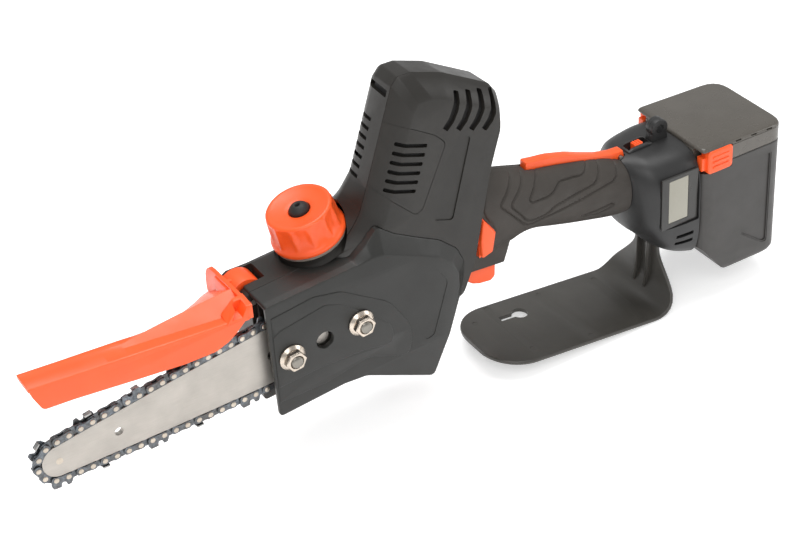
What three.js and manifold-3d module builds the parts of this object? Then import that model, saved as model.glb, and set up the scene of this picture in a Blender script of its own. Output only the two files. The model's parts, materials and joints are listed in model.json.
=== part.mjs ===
// Cordless pruning chainsaw with a 150 mm guide bar, as an assembly of separate pieces.
// Millimetres, +Z up, +X from the bar nose towards the battery, +Y away from the sprocket cover.
// The origin is the centre of the battery's underside, on the mid-plane of handle and tower.

import * as THREE from 'three';
import { mergeVertices } from 'three/addons/utils/BufferGeometryUtils.js';
import Module from 'manifold-3d';

const wasm = await Module();
wasm.setup();

// ---------------------------------------------------------------- driving dimensions

const GAP = 0.35;                 // space left between neighbouring pieces
const WALL = 2.6;                 // moulded wall thickness

const BAR_Y = -19;                // mid-plane of guide bar and chain
const BAR_THICKNESS = 4;
const SPROCKET_X = -259.7;        // drive sprocket centre
const SPROCKET_Z = 87.2;
const BAR_TILT = 5.2;             // degrees the bar points nose-down
const NOSE_X = -265.5;            // bar nose rivet, measured along the bar from the sprocket
const NOSE_R = 11.5;              // bar nose radius
const TAIL_X = -34;               // rear end of the bar
const SPROCKET_RAIL_R = 12.9;     // radius the drive sprocket continues the rail at
const STUD_FRONT_X = -105.3;
const STUD_REAR_X = -53.3;
const TENSIONER_X = -80.3;
const STUD_R = 4;
const CHAIN_WIDTH = 6.4;
const CHAIN_HEIGHT = 6.1;         // links above the rail
const CUTTERS = 19;

const TOWER_LEAN = 19.2;          // degrees the motor axis leans rearward
const TOWER_HALF = 24;            // tower half-width
const TOWER_FRONT = -329.5;       // tower front face, along the axis square to the lean
const PARTING_Y = -12;            // plane between tower side cover and main housing
const SEAM_Y = -9;                // plane between sprocket cover flange and main housing
const FAR_SHOULDER_Y = 8;         // where the tower's far bevel begins
const COVER_FACE_Y = -31;
const COVER_SHOULDER_Y = -24.6;   // where the cover's bevel meets its walls
const FAR_Y = 28;                 // far face of the main housing

const MOTOR_R = 20.5;
const SHAFT_R = 2.5;
const PINION_TEETH = 10;
const CROWN_TEETH = 30;

const BATTERY_HALF_X = 37;
const BATTERY_HALF_Y = 38;
const BATTERY_TOP = 113;
const LID_BOTTOM = 97;

const GUARD_PIVOT = [-376, 112];  // bar guard hinge
const TRIGGER_PIVOT = [-213, 79];
const LEVER_PIVOT = [-83, 108.5];
const CAP_BASE = [-322.5, 8, 129.5];
const CAP_LEAN = -15;             // degrees, forward

// ---------------------------------------------------------------- materials

function finish(color, roughness, metalness = 0) {
  return new THREE.MeshStandardMaterial({ color, roughness, metalness });
}

const blackPlastic = finish(0x44423f, 0.55);
const coverPlastic = finish(0x4a4946, 0.45);
const gripRubber = finish(0x3b3835, 0.75);
const orangePlastic = finish(0xff7346, 0.4);
const steel = finish(0xc8c5be, 0.35, 0.9);
const nickel = finish(0xcdc3b9, 0.3, 0.9);
const chainSteel = finish(0x5d666e, 0.4, 0.9);
const copper = finish(0xb87348, 0.4, 0.8);
const clearPlastic = finish(0xd8d4c8, 0.3);
const displayGlass = finish(0xb4b4a0, 0.2);
const board = finish(0x2f6b3c, 0.6);
const brass = finish(0xc9a24a, 0.35, 0.8);
const rubber = finish(0x1f1e1d, 0.6);

// ---------------------------------------------------------------- solids

function bare(geometry) {
  const copy = geometry.clone();
  copy.deleteAttribute('normal');
  copy.deleteAttribute('uv');
  return mergeVertices(copy, 1e-4);
}

function solid(geometry) {
  const merged = bare(geometry);
  const vertProperties = new Float32Array(merged.attributes.position.array);
  const triVerts = new Uint32Array(merged.index.array);
  const shape = new wasm.Manifold(new wasm.Mesh({ numProp: 3, vertProperties, triVerts }));
  if (shape.volume() >= 0) return shape;
  triVerts.reverse();             // turns every face outwards
  return new wasm.Manifold(new wasm.Mesh({ numProp: 3, vertProperties, triVerts }));
}

function geometryOf(shape) {
  const mesh = shape.getMesh();
  const geometry = new THREE.BufferGeometry();
  geometry.setAttribute('position', new THREE.BufferAttribute(new Float32Array(mesh.vertProperties), 3));
  geometry.setIndex(new THREE.BufferAttribute(new Uint32Array(mesh.triVerts), 1));
  geometry.computeVertexNormals();
  return geometry;
}

function join(...geometries) {
  return geometries.map(solid).reduce((whole, piece) => whole.add(piece));
}

function cut(shape, ...geometries) {
  return geometries.map(solid).reduce((whole, piece) => whole.subtract(piece), shape);
}

// A box between two corners.
function block(x0, x1, y0, y1, z0, z1) {
  const box = new THREE.BoxGeometry(x1 - x0, y1 - y0, z1 - z0);
  return box.translate((x0 + x1) / 2, (y0 + y1) / 2, (z0 + z1) / 2);
}

// An outline in X and Z, made solid between two Y planes.
function plate(points, y0, y1) {
  const shape = new THREE.Shape(points.map(([x, z]) => new THREE.Vector2(x, z)));
  const geometry = new THREE.ExtrudeGeometry(shape, { depth: y1 - y0, bevelEnabled: false });
  return geometry.rotateX(Math.PI / 2).translate(0, y1, 0);
}

// A plate with openings right through it.
function pierced(points, y0, y1, ...holes) {
  return cut(solid(plate(points, y0, y1)), ...holes.map((hole) => plate(hole, y0 - 1, y1 + 1)));
}

// An outline in X and Y, made solid between two Z planes.
function slab(points, z0, z1) {
  const shape = new THREE.Shape(points.map(([x, y]) => new THREE.Vector2(x, y)));
  return new THREE.ExtrudeGeometry(shape, { depth: z1 - z0, bevelEnabled: false }).translate(0, 0, z0);
}

// A cylinder along Y.
function pinY(x, z, r, y0, y1, segments = 18) {
  const pin = new THREE.CylinderGeometry(r, r, y1 - y0, segments);
  return pin.translate(x, (y0 + y1) / 2, z);
}

// A turned shape about the Y axis, from [radius, y] points.
function turnedY(points, segments = 20) {
  return new THREE.LatheGeometry(points.map(([r, y]) => new THREE.Vector2(r, y)), segments);
}

// A turned shape about the Z axis, from [radius, z] points.
function turnedZ(points, segments = 20) {
  return turnedY(points, segments).rotateX(Math.PI / 2);
}

function ring(inner, outer, low, high) {
  return [[inner, low], [outer, low], [outer, high], [inner, high], [inner, low]];
}

// A closed solid through rings that have equal numbers of points.
function loft(rings) {
  const count = rings[0].length;
  const index = [];
  for (let i = 1; i < count - 1; i += 1) {
    index.push(0, i + 1, i);
    const last = (rings.length - 1) * count;
    index.push(last, last + i, last + i + 1);
  }
  for (let k = 0; k < rings.length - 1; k += 1) {
    for (let i = 0; i < count; i += 1) {
      const a = k * count + i;
      const b = k * count + (i + 1) % count;
      index.push(a, b, a + count, b, b + count, a + count);
    }
  }
  const geometry = new THREE.BufferGeometry();
  geometry.setAttribute('position', new THREE.Float32BufferAttribute(rings.flat(2), 3));
  geometry.setIndex(index);
  return geometry;
}

// A ring in an X plane: a rounded rectangle that is an ellipse when power is 2.
function sectionX(x, zc, halfHeight, halfWidth, power, count = 20) {
  const points = [];
  for (let i = 0; i < count; i += 1) {
    const angle = (2 * Math.PI * i) / count;
    const c = Math.cos(angle);
    const s = Math.sin(angle);
    const y = halfWidth * Math.sign(c) * Math.abs(c) ** (2 / power);
    const z = halfHeight * Math.sign(s) * Math.abs(s) ** (2 / power);
    points.push([x, y, zc + z]);
  }
  return points;
}

// Moves each corner of an outline inwards by a distance (outwards when negative).
function inset(points, distance) {
  const area = points.reduce((sum, [x, z], i) => {
    const [nx, nz] = points[(i + 1) % points.length];
    return sum + x * nz - nx * z;
  }, 0);
  const turn = Math.sign(area);
  return points.map((point, i) => {
    const before = new THREE.Vector2(...points[(i + points.length - 1) % points.length]);
    const here = new THREE.Vector2(...point);
    const after = new THREE.Vector2(...points[(i + 1) % points.length]);
    const a = here.clone().sub(before).normalize();
    const b = after.sub(here).normalize();
    const normal = new THREE.Vector2(-a.y - b.y, a.x + b.x).normalize();
    const stretch = Math.max(0.5, normal.dot(new THREE.Vector2(-a.y, a.x)));
    here.addScaledVector(normal, (turn * distance) / stretch);
    return [here.x, here.y];
  });
}

function arc(cx, cz, r, from, to, steps) {
  const points = [];
  for (let i = 0; i <= steps; i += 1) {
    const angle = THREE.MathUtils.degToRad(from + ((to - from) * i) / steps);
    points.push([cx + r * Math.cos(angle), cz + r * Math.sin(angle)]);
  }
  return points;
}

// ---------------------------------------------------------------- scene

const saw = new THREE.Group();
const head = new THREE.Group();   // guide bar frame: X along the bar, Y along the spindle
head.position.set(SPROCKET_X, BAR_Y, SPROCKET_Z);
head.rotation.y = -THREE.MathUtils.degToRad(BAR_TILT);
const drive = new THREE.Group();  // motor frame: Z along the motor shaft
drive.position.set(SPROCKET_X, 0, SPROCKET_Z);
drive.rotation.y = THREE.MathUtils.degToRad(TOWER_LEAN);
const capFrame = new THREE.Group();
capFrame.position.set(...CAP_BASE);
capFrame.rotation.y = THREE.MathUtils.degToRad(CAP_LEAN);
saw.add(head, drive, capFrame);
saw.updateMatrixWorld(true);

function add(name, shape, material, parent = saw) {
  const body = shape.isBufferGeometry ? solid(shape) : shape;
  const mesh = new THREE.Mesh(geometryOf(body), material);
  mesh.name = name;
  parent.add(mesh);
}

// A geometry of one frame, as seen from the saw's own frame.
function fromFrame(geometry, frame) {
  return geometry.clone().applyMatrix4(frame.matrixWorld);
}

// ---------------------------------------------------------------- outlines of the body

// Tower coordinates: u rearward from the front face, w up along the lean.
const LEAN_SIN = Math.sin(THREE.MathUtils.degToRad(TOWER_LEAN));
const LEAN_COS = Math.cos(THREE.MathUtils.degToRad(TOWER_LEAN));

function towerPoint(u, w) {
  const across = TOWER_FRONT + u;
  return [across * LEAN_COS + w * LEAN_SIN, -across * LEAN_SIN + w * LEAN_COS];
}

const LOWER_OUTLINE = [
  [-379, 121.6], [-312, 127], [-301, 135], [-292, 144.5], [-279.5, 134.5], [-262, 124.5], [-246, 116],
  [-233, 104], [-228, 92], [-228.5, 80], [-233, 64], [-242, 44], [-258, 12], [-311, 37], [-328, 38],
  [-377, 33],
];

const COVER_FACE = [
  [-379, 121.6], [-312, 126], [-300, 127.5], [-291, 126.5], [-279, 121], [-264, 114.5], [-250, 108],
  [-240, 99], [-235.5, 88], [-235.5, 78], [-238.5, 62], [-245, 43], [-259.5, 13.5], [-311, 37], [-328, 38],
  [-377, 33],
];

// The tower outline pulled in by a shoulder depth, as its side faces are.
function towerOutline(depth) {
  const rear = depth * 0.05;
  return [
    towerPoint(depth - 34, 16), towerPoint(depth - 19, 30), towerPoint(depth - 6, 44),
    towerPoint(depth, 62), towerPoint(depth, 132 - depth), towerPoint(depth + 3, 139 - depth),
    towerPoint(depth + 12, 142 - depth), towerPoint(36, 142 - depth), towerPoint(75 - rear, 135 - depth),
    towerPoint(83 - rear, 129 - depth), towerPoint(86 - rear, 121 - depth),
    towerPoint(86.5 - rear, 82), towerPoint(90 - rear, 50), [-218.5 - rear, 87], [-228 - rear, 66], [-262, 50],
    [-330, 90],
  ];
}

function towerSolid(shrink) {
  const shoulders = [
    [-TOWER_HALF, 13], [-TOWER_HALF + 4, 6], [PARTING_Y, 0], [FAR_SHOULDER_Y, 0.8], [TOWER_HALF - 4, 7],
    [TOWER_HALF, 13],
  ];
  return loft(shoulders.map(([y, depth]) => {
    const plane = y - Math.sign(y) * (Math.abs(y) > -PARTING_Y ? shrink : 0);
    return inset(towerOutline(depth), shrink).map(([x, z]) => [x, plane, z]);
  }).map((section) => [...section].reverse()));
}

// ---------------------------------------------------------------- housings

function driveRod(r, low, high, segments = 20) {
  const rod = new THREE.CylinderGeometry(r, r, high - low, segments).rotateX(Math.PI / 2);
  return fromFrame(rod.translate(0, 0, (low + high) / 2), drive);
}

const farScrews = [
  [-368, 50, FAR_Y], [-292, 48, FAR_Y], [...towerPoint(22, 74), TOWER_HALF], [...towerPoint(22, 118), TOWER_HALF],
];

function screwHole([x, z, y]) {
  return [pinY(x, z, 3.6, y - 3, y + 4, 10), pinY(x, z, 1.9, y - 14, y - 2.5, 8)];
}

// The round room the oil cap turns in, above its seat.
const capRoom = fromFrame(turnedZ([[0, -2.4], [26, -2.4], [26, 60], [0, 60]], 24), capFrame);

function screw(x, z, y) {
  const profile = [[0, y - 13.5], [1.5, y - 13.5], [1.5, y - 2.7], [3.2, y - 2.7], [3.2, y - 0.3], [0, y - 0.3]];
  return turnedY(profile, 8).translate(x, 0, z);
}

function mainHousing() {
  const inner = inset(LOWER_OUTLINE, WALL + GAP + 0.4);
  const lower = join(
    plate(inner, -12.6, SEAM_Y + 1),
    plate(LOWER_OUTLINE, SEAM_Y + GAP, FAR_Y - 5),
    loft([
      inset(LOWER_OUTLINE, 4.2).map(([x, z]) => [x, FAR_Y, z]),
      LOWER_OUTLINE.map(([x, z]) => [x, FAR_Y - 5.1, z]),
    ]),
  );
  const [pivotX, pivotZ] = GUARD_PIVOT;
  const ear = [...arc(pivotX, pivotZ, 8.5, 110, 250, 7), [pivotX + 14, pivotZ - 10], [pivotX + 14, pivotZ + 8]];
  const ears = join(plate(ear, SEAM_Y + GAP, -0.5), plate(ear, 18.5, FAR_Y - 2));
  const barPad = fromFrame(plate([
    ...arc(STUD_FRONT_X, 0, 12, 90, 270, 6), ...arc(STUD_REAR_X, 0, 12, -90, 90, 6),
  ], 1 + BAR_THICKNESS / 2 - 0.6, 7), head);
  const tower = cut(
    solid(towerSolid(0)).intersect(solid(block(-420, -150, PARTING_Y + GAP, 40, 0, 300))),
    plate(inset(LOWER_OUTLINE, -GAP), -60, SEAM_Y + GAP),
  );
  const capBoss = fromFrame(turnedZ([[0, -11], [22, -11], [22, -2], [0, -2]], 24), capFrame);
  const seat = solid(capBoss).intersect(solid(block(-420, -250, SEAM_Y + GAP, 60, 90, 160)));
  const neck = fromFrame(turnedZ([[0, -6], [14.6, -6], [14.6, 9], [0, 9]], 20), capFrame);
  let housing = cut(lower.add(ears).add(tower).add(seat), capRoom).add(solid(neck)).add(solid(barPad));

  // hollows: motor well, gear case, oil tank with its filler, hinge slot
  housing = housing.subtract(solid(towerSolid(WALL)).intersect(
    solid(fromFrame(block(-70, 60, -60, 60, 31, 220), drive))));
  for (const [x, z, y] of farScrews.slice(2)) housing = housing.add(solid(pinY(x, z, 5.4, y - 16, y - 1, 10)));
  housing = cut(
    housing,
    driveRod(9, 5, 40),
    pinY(SPROCKET_X, SPROCKET_Z, 23, -2.5, 15, 28),
    pinY(SPROCKET_X, SPROCKET_Z, 11.4, -8, -2),
    pinY(SPROCKET_X, SPROCKET_Z, 11.4, 14, 20.6),
    pinY(SPROCKET_X, SPROCKET_Z, 5.4, -14, -7),
    block(-362, -298, -4, 24, 62, 112),
    fromFrame(turnedZ([[0, -30], [11.5, -30], [11.5, 20], [0, 20]], 16), capFrame),
    block(-400, pivotX + 13, -0.5, 18.5, pivotZ - 14, 140),
    pinY(pivotX, pivotZ, 2.8, SEAM_Y - 2, FAR_Y - 4, 12),
    pinY(-333, 60, 2.6, -30, -3, 12),
  );
  for (const x of [STUD_FRONT_X, STUD_REAR_X]) {
    housing = cut(housing, fromFrame(pinY(x, 0, STUD_R + GAP, -10, 17.4), head));
  }
  housing = cut(housing, fromFrame(pinY(TENSIONER_X, 0, 3.6, -10, 12), head));
  for (const place of farScrews) housing = cut(housing, ...screwHole(place));
  return housing;
}

function ventRegion(margin) {
  const top = 108.6 + margin;
  return [
    towerPoint(-20, top), towerPoint(14, top), towerPoint(34, 104 + margin), towerPoint(44 + margin, 98.6 + margin),
    towerPoint(39 + margin, 52 - margin), towerPoint(35, 48 - margin), towerPoint(0, 65 - margin),
    towerPoint(-20, 75 - margin),
  ];
}

function nearTower() {
  const near = solid(block(-420, -150, -60, PARTING_Y, 0, 300));
  const wall = solid(towerSolid(0)).subtract(solid(towerSolid(WALL))).intersect(near);
  return cut(wall, plate(inset(LOWER_OUTLINE, -GAP), -60, 0), capRoom);
}

function towerSideCover() {
  let cover = cut(nearTower(), plate(ventRegion(0), -60, 0));
  for (let i = 0; i < 4; i += 1) {
    const [x, z] = towerPoint(44 + i * 10.3, 120);
    const slot = new THREE.BoxGeometry(2.4, 20, 26).rotateY(THREE.MathUtils.degToRad(TOWER_LEAN));
    cover = cut(cover, slot.translate(x, -TOWER_HALF, z));
  }
  return cover;
}

function ventGrille() {
  let grille = nearTower().intersect(solid(plate(ventRegion(-GAP), -60, 0)));
  for (let i = 0; i < 6; i += 1) {
    const [x, z] = towerPoint(18.5, 97 - i * 6.4);
    const slot = new THREE.BoxGeometry(23, 30, 2.5).rotateY(THREE.MathUtils.degToRad(TOWER_LEAN));
    grille = cut(grille, slot.translate(x, -TOWER_HALF, z));
  }
  return grille;
}

function sprocketCover() {
  const section = (points, y) => points.map(([x, z]) => [x, y, z]);
  const outer = loft([
    section(COVER_FACE, COVER_FACE_Y + 1), section(LOWER_OUTLINE, COVER_SHOULDER_Y),
    section(LOWER_OUTLINE, SEAM_Y),
  ].map((points) => [...points].reverse()));
  const widened = (points) => inset(points, WALL).map(([x, z], i, all) => {
    if (i === 0 || i === all.length - 1) return [x - 8, z];
    return [x, z];
  });
  const inner = loft([
    section(widened(COVER_FACE), COVER_FACE_Y + 1 + WALL), section(widened(LOWER_OUTLINE), COVER_SHOULDER_Y),
    section(widened(LOWER_OUTLINE), SEAM_Y + 1),
  ].map((points) => [...points].reverse()));
  const pad = fromFrame(plate([
    [-115, 26], [-74, 33], [-45, 12], [-29, -6], [-33, -22], [-53, -20], [-82, -17], [-113, -16],
  ], COVER_FACE_Y - BAR_Y, COVER_FACE_Y - BAR_Y + 2), head);
  const clampBoss = (x) => fromFrame(pinY(x, 0, 9.5, COVER_FACE_Y - BAR_Y + 1, -BAR_THICKNESS / 2 - GAP), head);
  let cover = solid(outer).subtract(solid(inner)).add(solid(pad));
  cover = cover.add(solid(clampBoss(STUD_FRONT_X))).add(solid(clampBoss(STUD_REAR_X)));
  cover = cut(cover, capRoom);
  for (const x of [STUD_FRONT_X, STUD_REAR_X]) {
    cover = cut(cover, fromFrame(pinY(x, 0, STUD_R + GAP, -20, 0), head));
  }
  cover = cut(cover, fromFrame(pinY(TENSIONER_X, 0, 6.2, -20, -8), head));
  // chips leave through the open front half of the underside
  return cut(cover, block(-390, -330, COVER_FACE_Y + 1 + WALL, 0, 20, 45));
}

// ---------------------------------------------------------------- bar, chain and drive

function railHeight(x) {
  const s = x - NOSE_X;
  const rising = NOSE_R + 0.085 * s - 0.00012 * s * s;
  if (x < -116) return rising;
  const t = x + 116;
  return 21.54 + 0.049 * t - 0.00118 * t * t;
}

// The rail of bar and sprocket, pushed out by an offset, as a closed outline.
function railOutline(offset, tailX = TAIL_X, aroundSprocket = true) {
  const top = [];
  for (let i = 0; i <= 9; i += 1) {
    const x = NOSE_X + 2 + ((tailX - NOSE_X - 2) * i) / 9;
    top.push([x, railHeight(x) + offset]);
  }
  const bottom = top.map(([x, z]) => [x, -z]).reverse();
  const nose = arc(NOSE_X, 0, NOSE_R + offset, 265, 95, 12);
  const tail = aroundSprocket
    ? arc(0, 0, SPROCKET_RAIL_R + offset, 84, -84, 12)
    : [[tailX + 8, 11], [tailX + 8, -11]];
  return [...top, ...tail, ...bottom, ...nose];
}

function guideBar() {
  const slot = [
    ...arc(STUD_FRONT_X - 8, 0, STUD_R + GAP, 90, 270, 5), ...arc(STUD_REAR_X + 8, 0, STUD_R + GAP, -90, 90, 5),
  ];
  const half = BAR_THICKNESS / 2;
  const bar = pierced(railOutline(0, TAIL_X, false), -half, half, slot);
  const pocket = turnedY(ring(3.2, NOSE_R + 3, -1, 1), 24).translate(NOSE_X, 0, 0);
  return cut(bar, pocket, pinY(-224.5, 0, 3, -5, 5, 12), pinY(TENSIONER_X, -13, 2, -5, 5, 8));
}

function sawChain() {
  let chain = pierced(railOutline(CHAIN_HEIGHT), -CHAIN_WIDTH / 2, CHAIN_WIDTH / 2, railOutline(GAP));
  const line = railOutline(CHAIN_HEIGHT - 1).map(([x, z]) => new THREE.Vector3(x, 0, z));
  const path = new THREE.CatmullRomCurve3(line, true, 'centripetal');
  for (let i = 0; i < CUTTERS; i += 1) {
    const place = path.getPointAt(i / CUTTERS);
    const along = path.getTangentAt(i / CUTTERS);
    const side = i % 2 ? -1 : 1;
    const tooth = block(-4, 4, Math.min(0, side * CHAIN_WIDTH / 2), Math.max(0, side * CHAIN_WIDTH / 2), -0.5, 4.4);
    tooth.rotateY(-Math.atan2(along.z, along.x)).translate(place.x, 0, place.z);
    chain = chain.add(solid(tooth));
  }
  return chain;
}

function sprocketTeeth(radius, root, teeth, y0, y1, bore) {
  const outline = [];
  for (let i = 0; i < teeth; i += 1) {
    const step = 360 / teeth;
    outline.push(...arc(0, 0, root, (i - 0.2) * step, (i + 0.2) * step, 1));
    outline.push(...arc(0, 0, radius, (i + 0.4) * step, (i + 0.6) * step, 1));
  }
  return cut(solid(plate(outline, y0, y1)), pinY(0, 0, bore, y0 - 1, y1 + 1, 12));
}

function pinion() {
  const wheel = sprocketTeeth(6.9, 4.6, PINION_TEETH, -21.8, -15.5, SHAFT_R + GAP);
  return geometryOf(wheel).rotateX(-Math.PI / 2).rotateZ(Math.PI / PINION_TEETH);
}

function crownGear() {
  let gear = solid(turnedY(ring(4 + GAP, 21.5, 9, 13), 28));
  for (let i = 0; i < CROWN_TEETH; i += 1) {
    const tooth = block(16.6, 20.8, 5.6, 9.5, -0.5, 0.5).rotateY((2 * Math.PI * (i + 0.5)) / CROWN_TEETH);
    gear = gear.add(solid(tooth));
  }
  return gear;
}

function barNut() {
  const hex = turnedY([[0, 0], [7.4, 0], [7.4, 6], [0, 6]], 6);
  const flange = turnedY([[0, 0], [9.3, 0], [9.3, 1.2], [7, 2.6], [0, 2.6]], 20);
  return cut(join(hex, flange), pinY(0, 0, STUD_R + GAP, -1, 7));
}

function fan() {
  let wheel = solid(turnedZ(ring(SHAFT_R + GAP, 6, 105, 114), 12));
  for (let i = 0; i < 8; i += 1) {
    const blade = block(4.5, 18.5, -0.7, 0.7, 105.5, 113.5).rotateZ((Math.PI * i) / 4);
    wheel = wheel.add(solid(blade));
  }
  return wheel;
}

// ---------------------------------------------------------------- bar guard

function barGuard() {
  const nearY = BAR_Y - 8;
  const farY = BAR_Y + 8;
  const thick = 2.2;
  const rearX = -388.5;
  const side = [
    [-536.4, 128.8], [-529.1, 109.7], [-424, 101.1], [-407, 104.2], [-396, 110.5], [rearX, 119], [rearX, 125],
    [-404, 124],
  ];
  const topFace = [[-536.4, 128.8], [-536.2, 126.4], [-404, 121.6], [rearX, 122.6], [rearX, 125], [-404, 124]];
  const farLip = [[-536.4, 128.8], [-533, 119], [-430, 113], [rearX, 113], [rearX, 125], [-404, 124]];
  const floor = slab([
    [-452, farY - 1], [-416, 10], [-403, 19], [-396, 25], [rearX, 28], [rearX, farY - 1],
  ], 113, 115.2);
  const wing = plate([[rearX - thick, 113], [rearX, 111], [rearX, 125], [rearX - thick, 125]], nearY, 28);
  const rib = loft([
    [[-451, -17, 121.5], [-451, -15, 121.5], [-451, -15, 124], [-451, -17, 124]],
    [[rearX, -6, 121.5], [rearX, -4, 121.5], [rearX, -4, 125], [rearX, -6, 125]],
  ]);
  const boss = plate([[-410, 117], [-396, 110.5], [rearX, 119], [rearX, 125], [-404, 124]], nearY - 2.5, nearY + 1);
  const [pivotX, pivotZ] = GUARD_PIVOT;
  const knuckle = plate([
    ...arc(pivotX, pivotZ, 12.2, 130, -60, 12), [pivotX + 2, pivotZ - 5], [rearX - 1, 112], [rearX - 1, 124],
  ], 0.2, 17.8);
  return join(
    plate(side, nearY, nearY + thick), plate(topFace, nearY, farY), plate(farLip, farY - thick, farY),
    floor, wing, rib, boss, knuckle,
  ).subtract(solid(pinY(pivotX, pivotZ, 2.5 + GAP, -2, 20, 14)))
    .subtract(solid(plate(arc(pivotX + 4, pivotZ - 7, 5.5, 0, 330, 11), 2.6, 15.4)));
}

// ---------------------------------------------------------------- handle and controls

const GRIP_SECTIONS = [
  [-226, 108, 34, 17], [-205, 106, 33.5, 17.5], [-190, 106.5, 30.5, 17.2], [-180, 106, 28.3, 17],
  [-170, 105.8, 25.4, 16.8], [-160, 104.2, 24, 16.5], [-145, 100.8, 24.6, 16.5], [-131, 97.4, 25, 16.5],
  [-112, 92.8, 25, 16.5], [-97, 89, 24.3, 17.2], [-90, 87.3, 23, 18.2], [-84.4, 86.3, 21.4, 19.3],
];

function gripLoft(shrink) {
  return loft(GRIP_SECTIONS.map(([x, zc, a, b]) => sectionX(x, zc, a - shrink, b - shrink, 2.3, 16)));
}

const TRIGGER_OUTLINE = [
  [-217, 83], [-200, 83], [-191.4, 67], [-192, 54.5], [-195.6, 51.8], [-205, 53], [-211, 55.4], [-216, 59.6],
  [-219, 64.5], [-220.5, 71],
];

function swing(points, [px, pz], degrees) {
  const angle = THREE.MathUtils.degToRad(degrees);
  return points.map(([x, z]) => {
    const dx = x - px;
    const dz = z - pz;
    return [px + dx * Math.cos(angle) - dz * Math.sin(angle), pz + dx * Math.sin(angle) + dz * Math.cos(angle)];
  });
}

const LEVER_OUTLINE = [
  [-162.5, 133.8], [-154.7, 132.4], [-142.9, 130.8], [-126.3, 126.2], [-114.2, 121.2], [-102, 116.6], [-90, 113.7],
  [-80.5, 113.2], [-79, 106], [-86, 104], [-104, 108.5], [-126, 114], [-150, 120], [-163, 123.5],
];

function grip() {
  const triggerHousing = block(-222, -186.5, -12, 12, 69, 92);
  let shape = solid(gripLoft(0)).add(solid(triggerHousing));
  shape = cut(shape, gripLoft(WALL));
  shape = shape.subtract(solid(towerSolid(-GAP)));
  shape = cut(
    shape,
    plate(inset(TRIGGER_OUTLINE, -0.8), -7.6, 7.6),
    plate(inset(swing(TRIGGER_OUTLINE, TRIGGER_PIVOT, 8), -0.8), -7.6, 7.6),
    plate(inset(LEVER_OUTLINE, -0.6), -5.2, 5.2),
    plate(inset(swing(LEVER_OUTLINE, LEVER_PIVOT, 2.4), -0.6), -5.2, 5.2),
    plate(inset(swing(LEVER_OUTLINE, LEVER_PIVOT, 4.6), -0.6), -5.2, 5.2),
    block(-230, -178, -8, 8, 72, 84),
    plate(inset(LOCK_OUTLINE, -0.4), -40, -9),
    plate(inset(LOWER_OUTLINE, -GAP - 0.1), -40, 40),
  );
  return shape;
}

const LOCK_OUTLINE = [[-210.5, 117.5], [-200, 103], [-203, 88], [-212.5, 85], [-213, 100]];

function lockButton() {
  const body = plate(LOCK_OUTLINE, -19.5, -13);
  const cap = plate(inset(LOCK_OUTLINE, 0.8), -23, -19.4);
  return join(body, cap);
}

function halfOf(shape, side) {
  const y0 = side < 0 ? -80 : GAP / 2;
  const y1 = side < 0 ? -GAP / 2 : 80;
  return shape.intersect(solid(block(-450, 60, y0, y1, -40, 300)));
}

const BELL_SECTIONS = [
  [-84, 86.3, 21.4, 19.3, 2.3], [-80, 79.5, 29.5, 27.5, 2.4], [-74, 77, 33, 33, 2.8], [-67, 73, 37, 35.5, 3.2],
  [-58, 69.5, 40.7, 36.5, 3.6], [-48, 67, 43.2, 37, 4], [-37.5, 65, 45, 37, 4],
];

function bellLoft(shrink) {
  return loft(BELL_SECTIONS.map(([x, zc, a, b, power]) => sectionX(x, zc, a - shrink, b - shrink, power, 24)));
}

function bell() {
  const hollow = solid(bellLoft(WALL)).intersect(solid(block(-80, -41, -60, 60, 0, 140)));
  let shape = solid(bellLoft(0)).subtract(hollow);
  const eyelet = [...arc(-48.5, 119, 7, -30, 210, 10), [-56, 107], [-41, 107]];
  shape = shape.add(pierced(eyelet, -4, 4, arc(-48.5, 119, 3.3, 0, 337.5, 15)));
  return cut(
    shape,
    block(-70.9, -38.1, -42, -33.6, 57, 99.9), block(-64, -45.5, -37, -28.6, 61, 97),
    block(-76, -57, -3.6, 3.6, 98, 125),
    block(-57, -44, -40, -25, 42, 45), block(-59, -46, -40, -25, 47.5, 50.5),
    block(-45, -30, -8, 8, 35, 81),
    plate(inset(LEVER_OUTLINE, -0.6), -5.2, 5.2),
    plate(inset(swing(LEVER_OUTLINE, LEVER_PIVOT, 5), -0.6), -5.2, 5.2),
    pinY(-66, 82, 1.9, -13, 40, 8), pinY(-66, 82, 3.6, 28, 50, 10),
  );
}

function handGuard() {
  const path = [
    [-208, -3.2, 8], [-205.5, -3.4, 20], [-199, -4, 29], [-189, -5, 35], [-176, -6.2, 38],
    [-76, -16, 38], [-67, -15.2, 38], [-60, -10.5, 37], [-56.8, -3.5, 34], [-55.8, 4, 27], [-55.3, 11, 20],
    [-55, 19, 14.5], [-54.8, 34, 13],
  ];
  const rings = path.map(([x, z, half], i) => {
    const before = path[Math.max(0, i - 1)];
    const after = path[Math.min(path.length - 1, i + 1)];
    const along = new THREE.Vector2(after[0] - before[0], after[1] - before[1]).normalize();
    const lift = [-along.y * 1.5, along.x * 1.5];
    const corner = (side, way) => [x + way * lift[0], side * half, z + way * lift[1]];
    return [corner(1, 1), corner(-1, 1), corner(-1, -1), corner(1, -1)];
  });
  const rib = (y) => plate([[-62, -9], [-57, -9], [-55, 34], [-60, 34], [-61, 8]], y - 1.2, y + 1.2);
  const shape = join(loft(rings), rib(-6), rib(6));
  return cut(
    shape, bellLoft(-GAP),
    pinY(0, 0, 6, -20, 10, 14).rotateX(Math.PI / 2).translate(-153, 17, 0),
    block(-174, -153, 14.6, 19.4, -20, 10),
  );
}

// ---------------------------------------------------------------- battery

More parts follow.
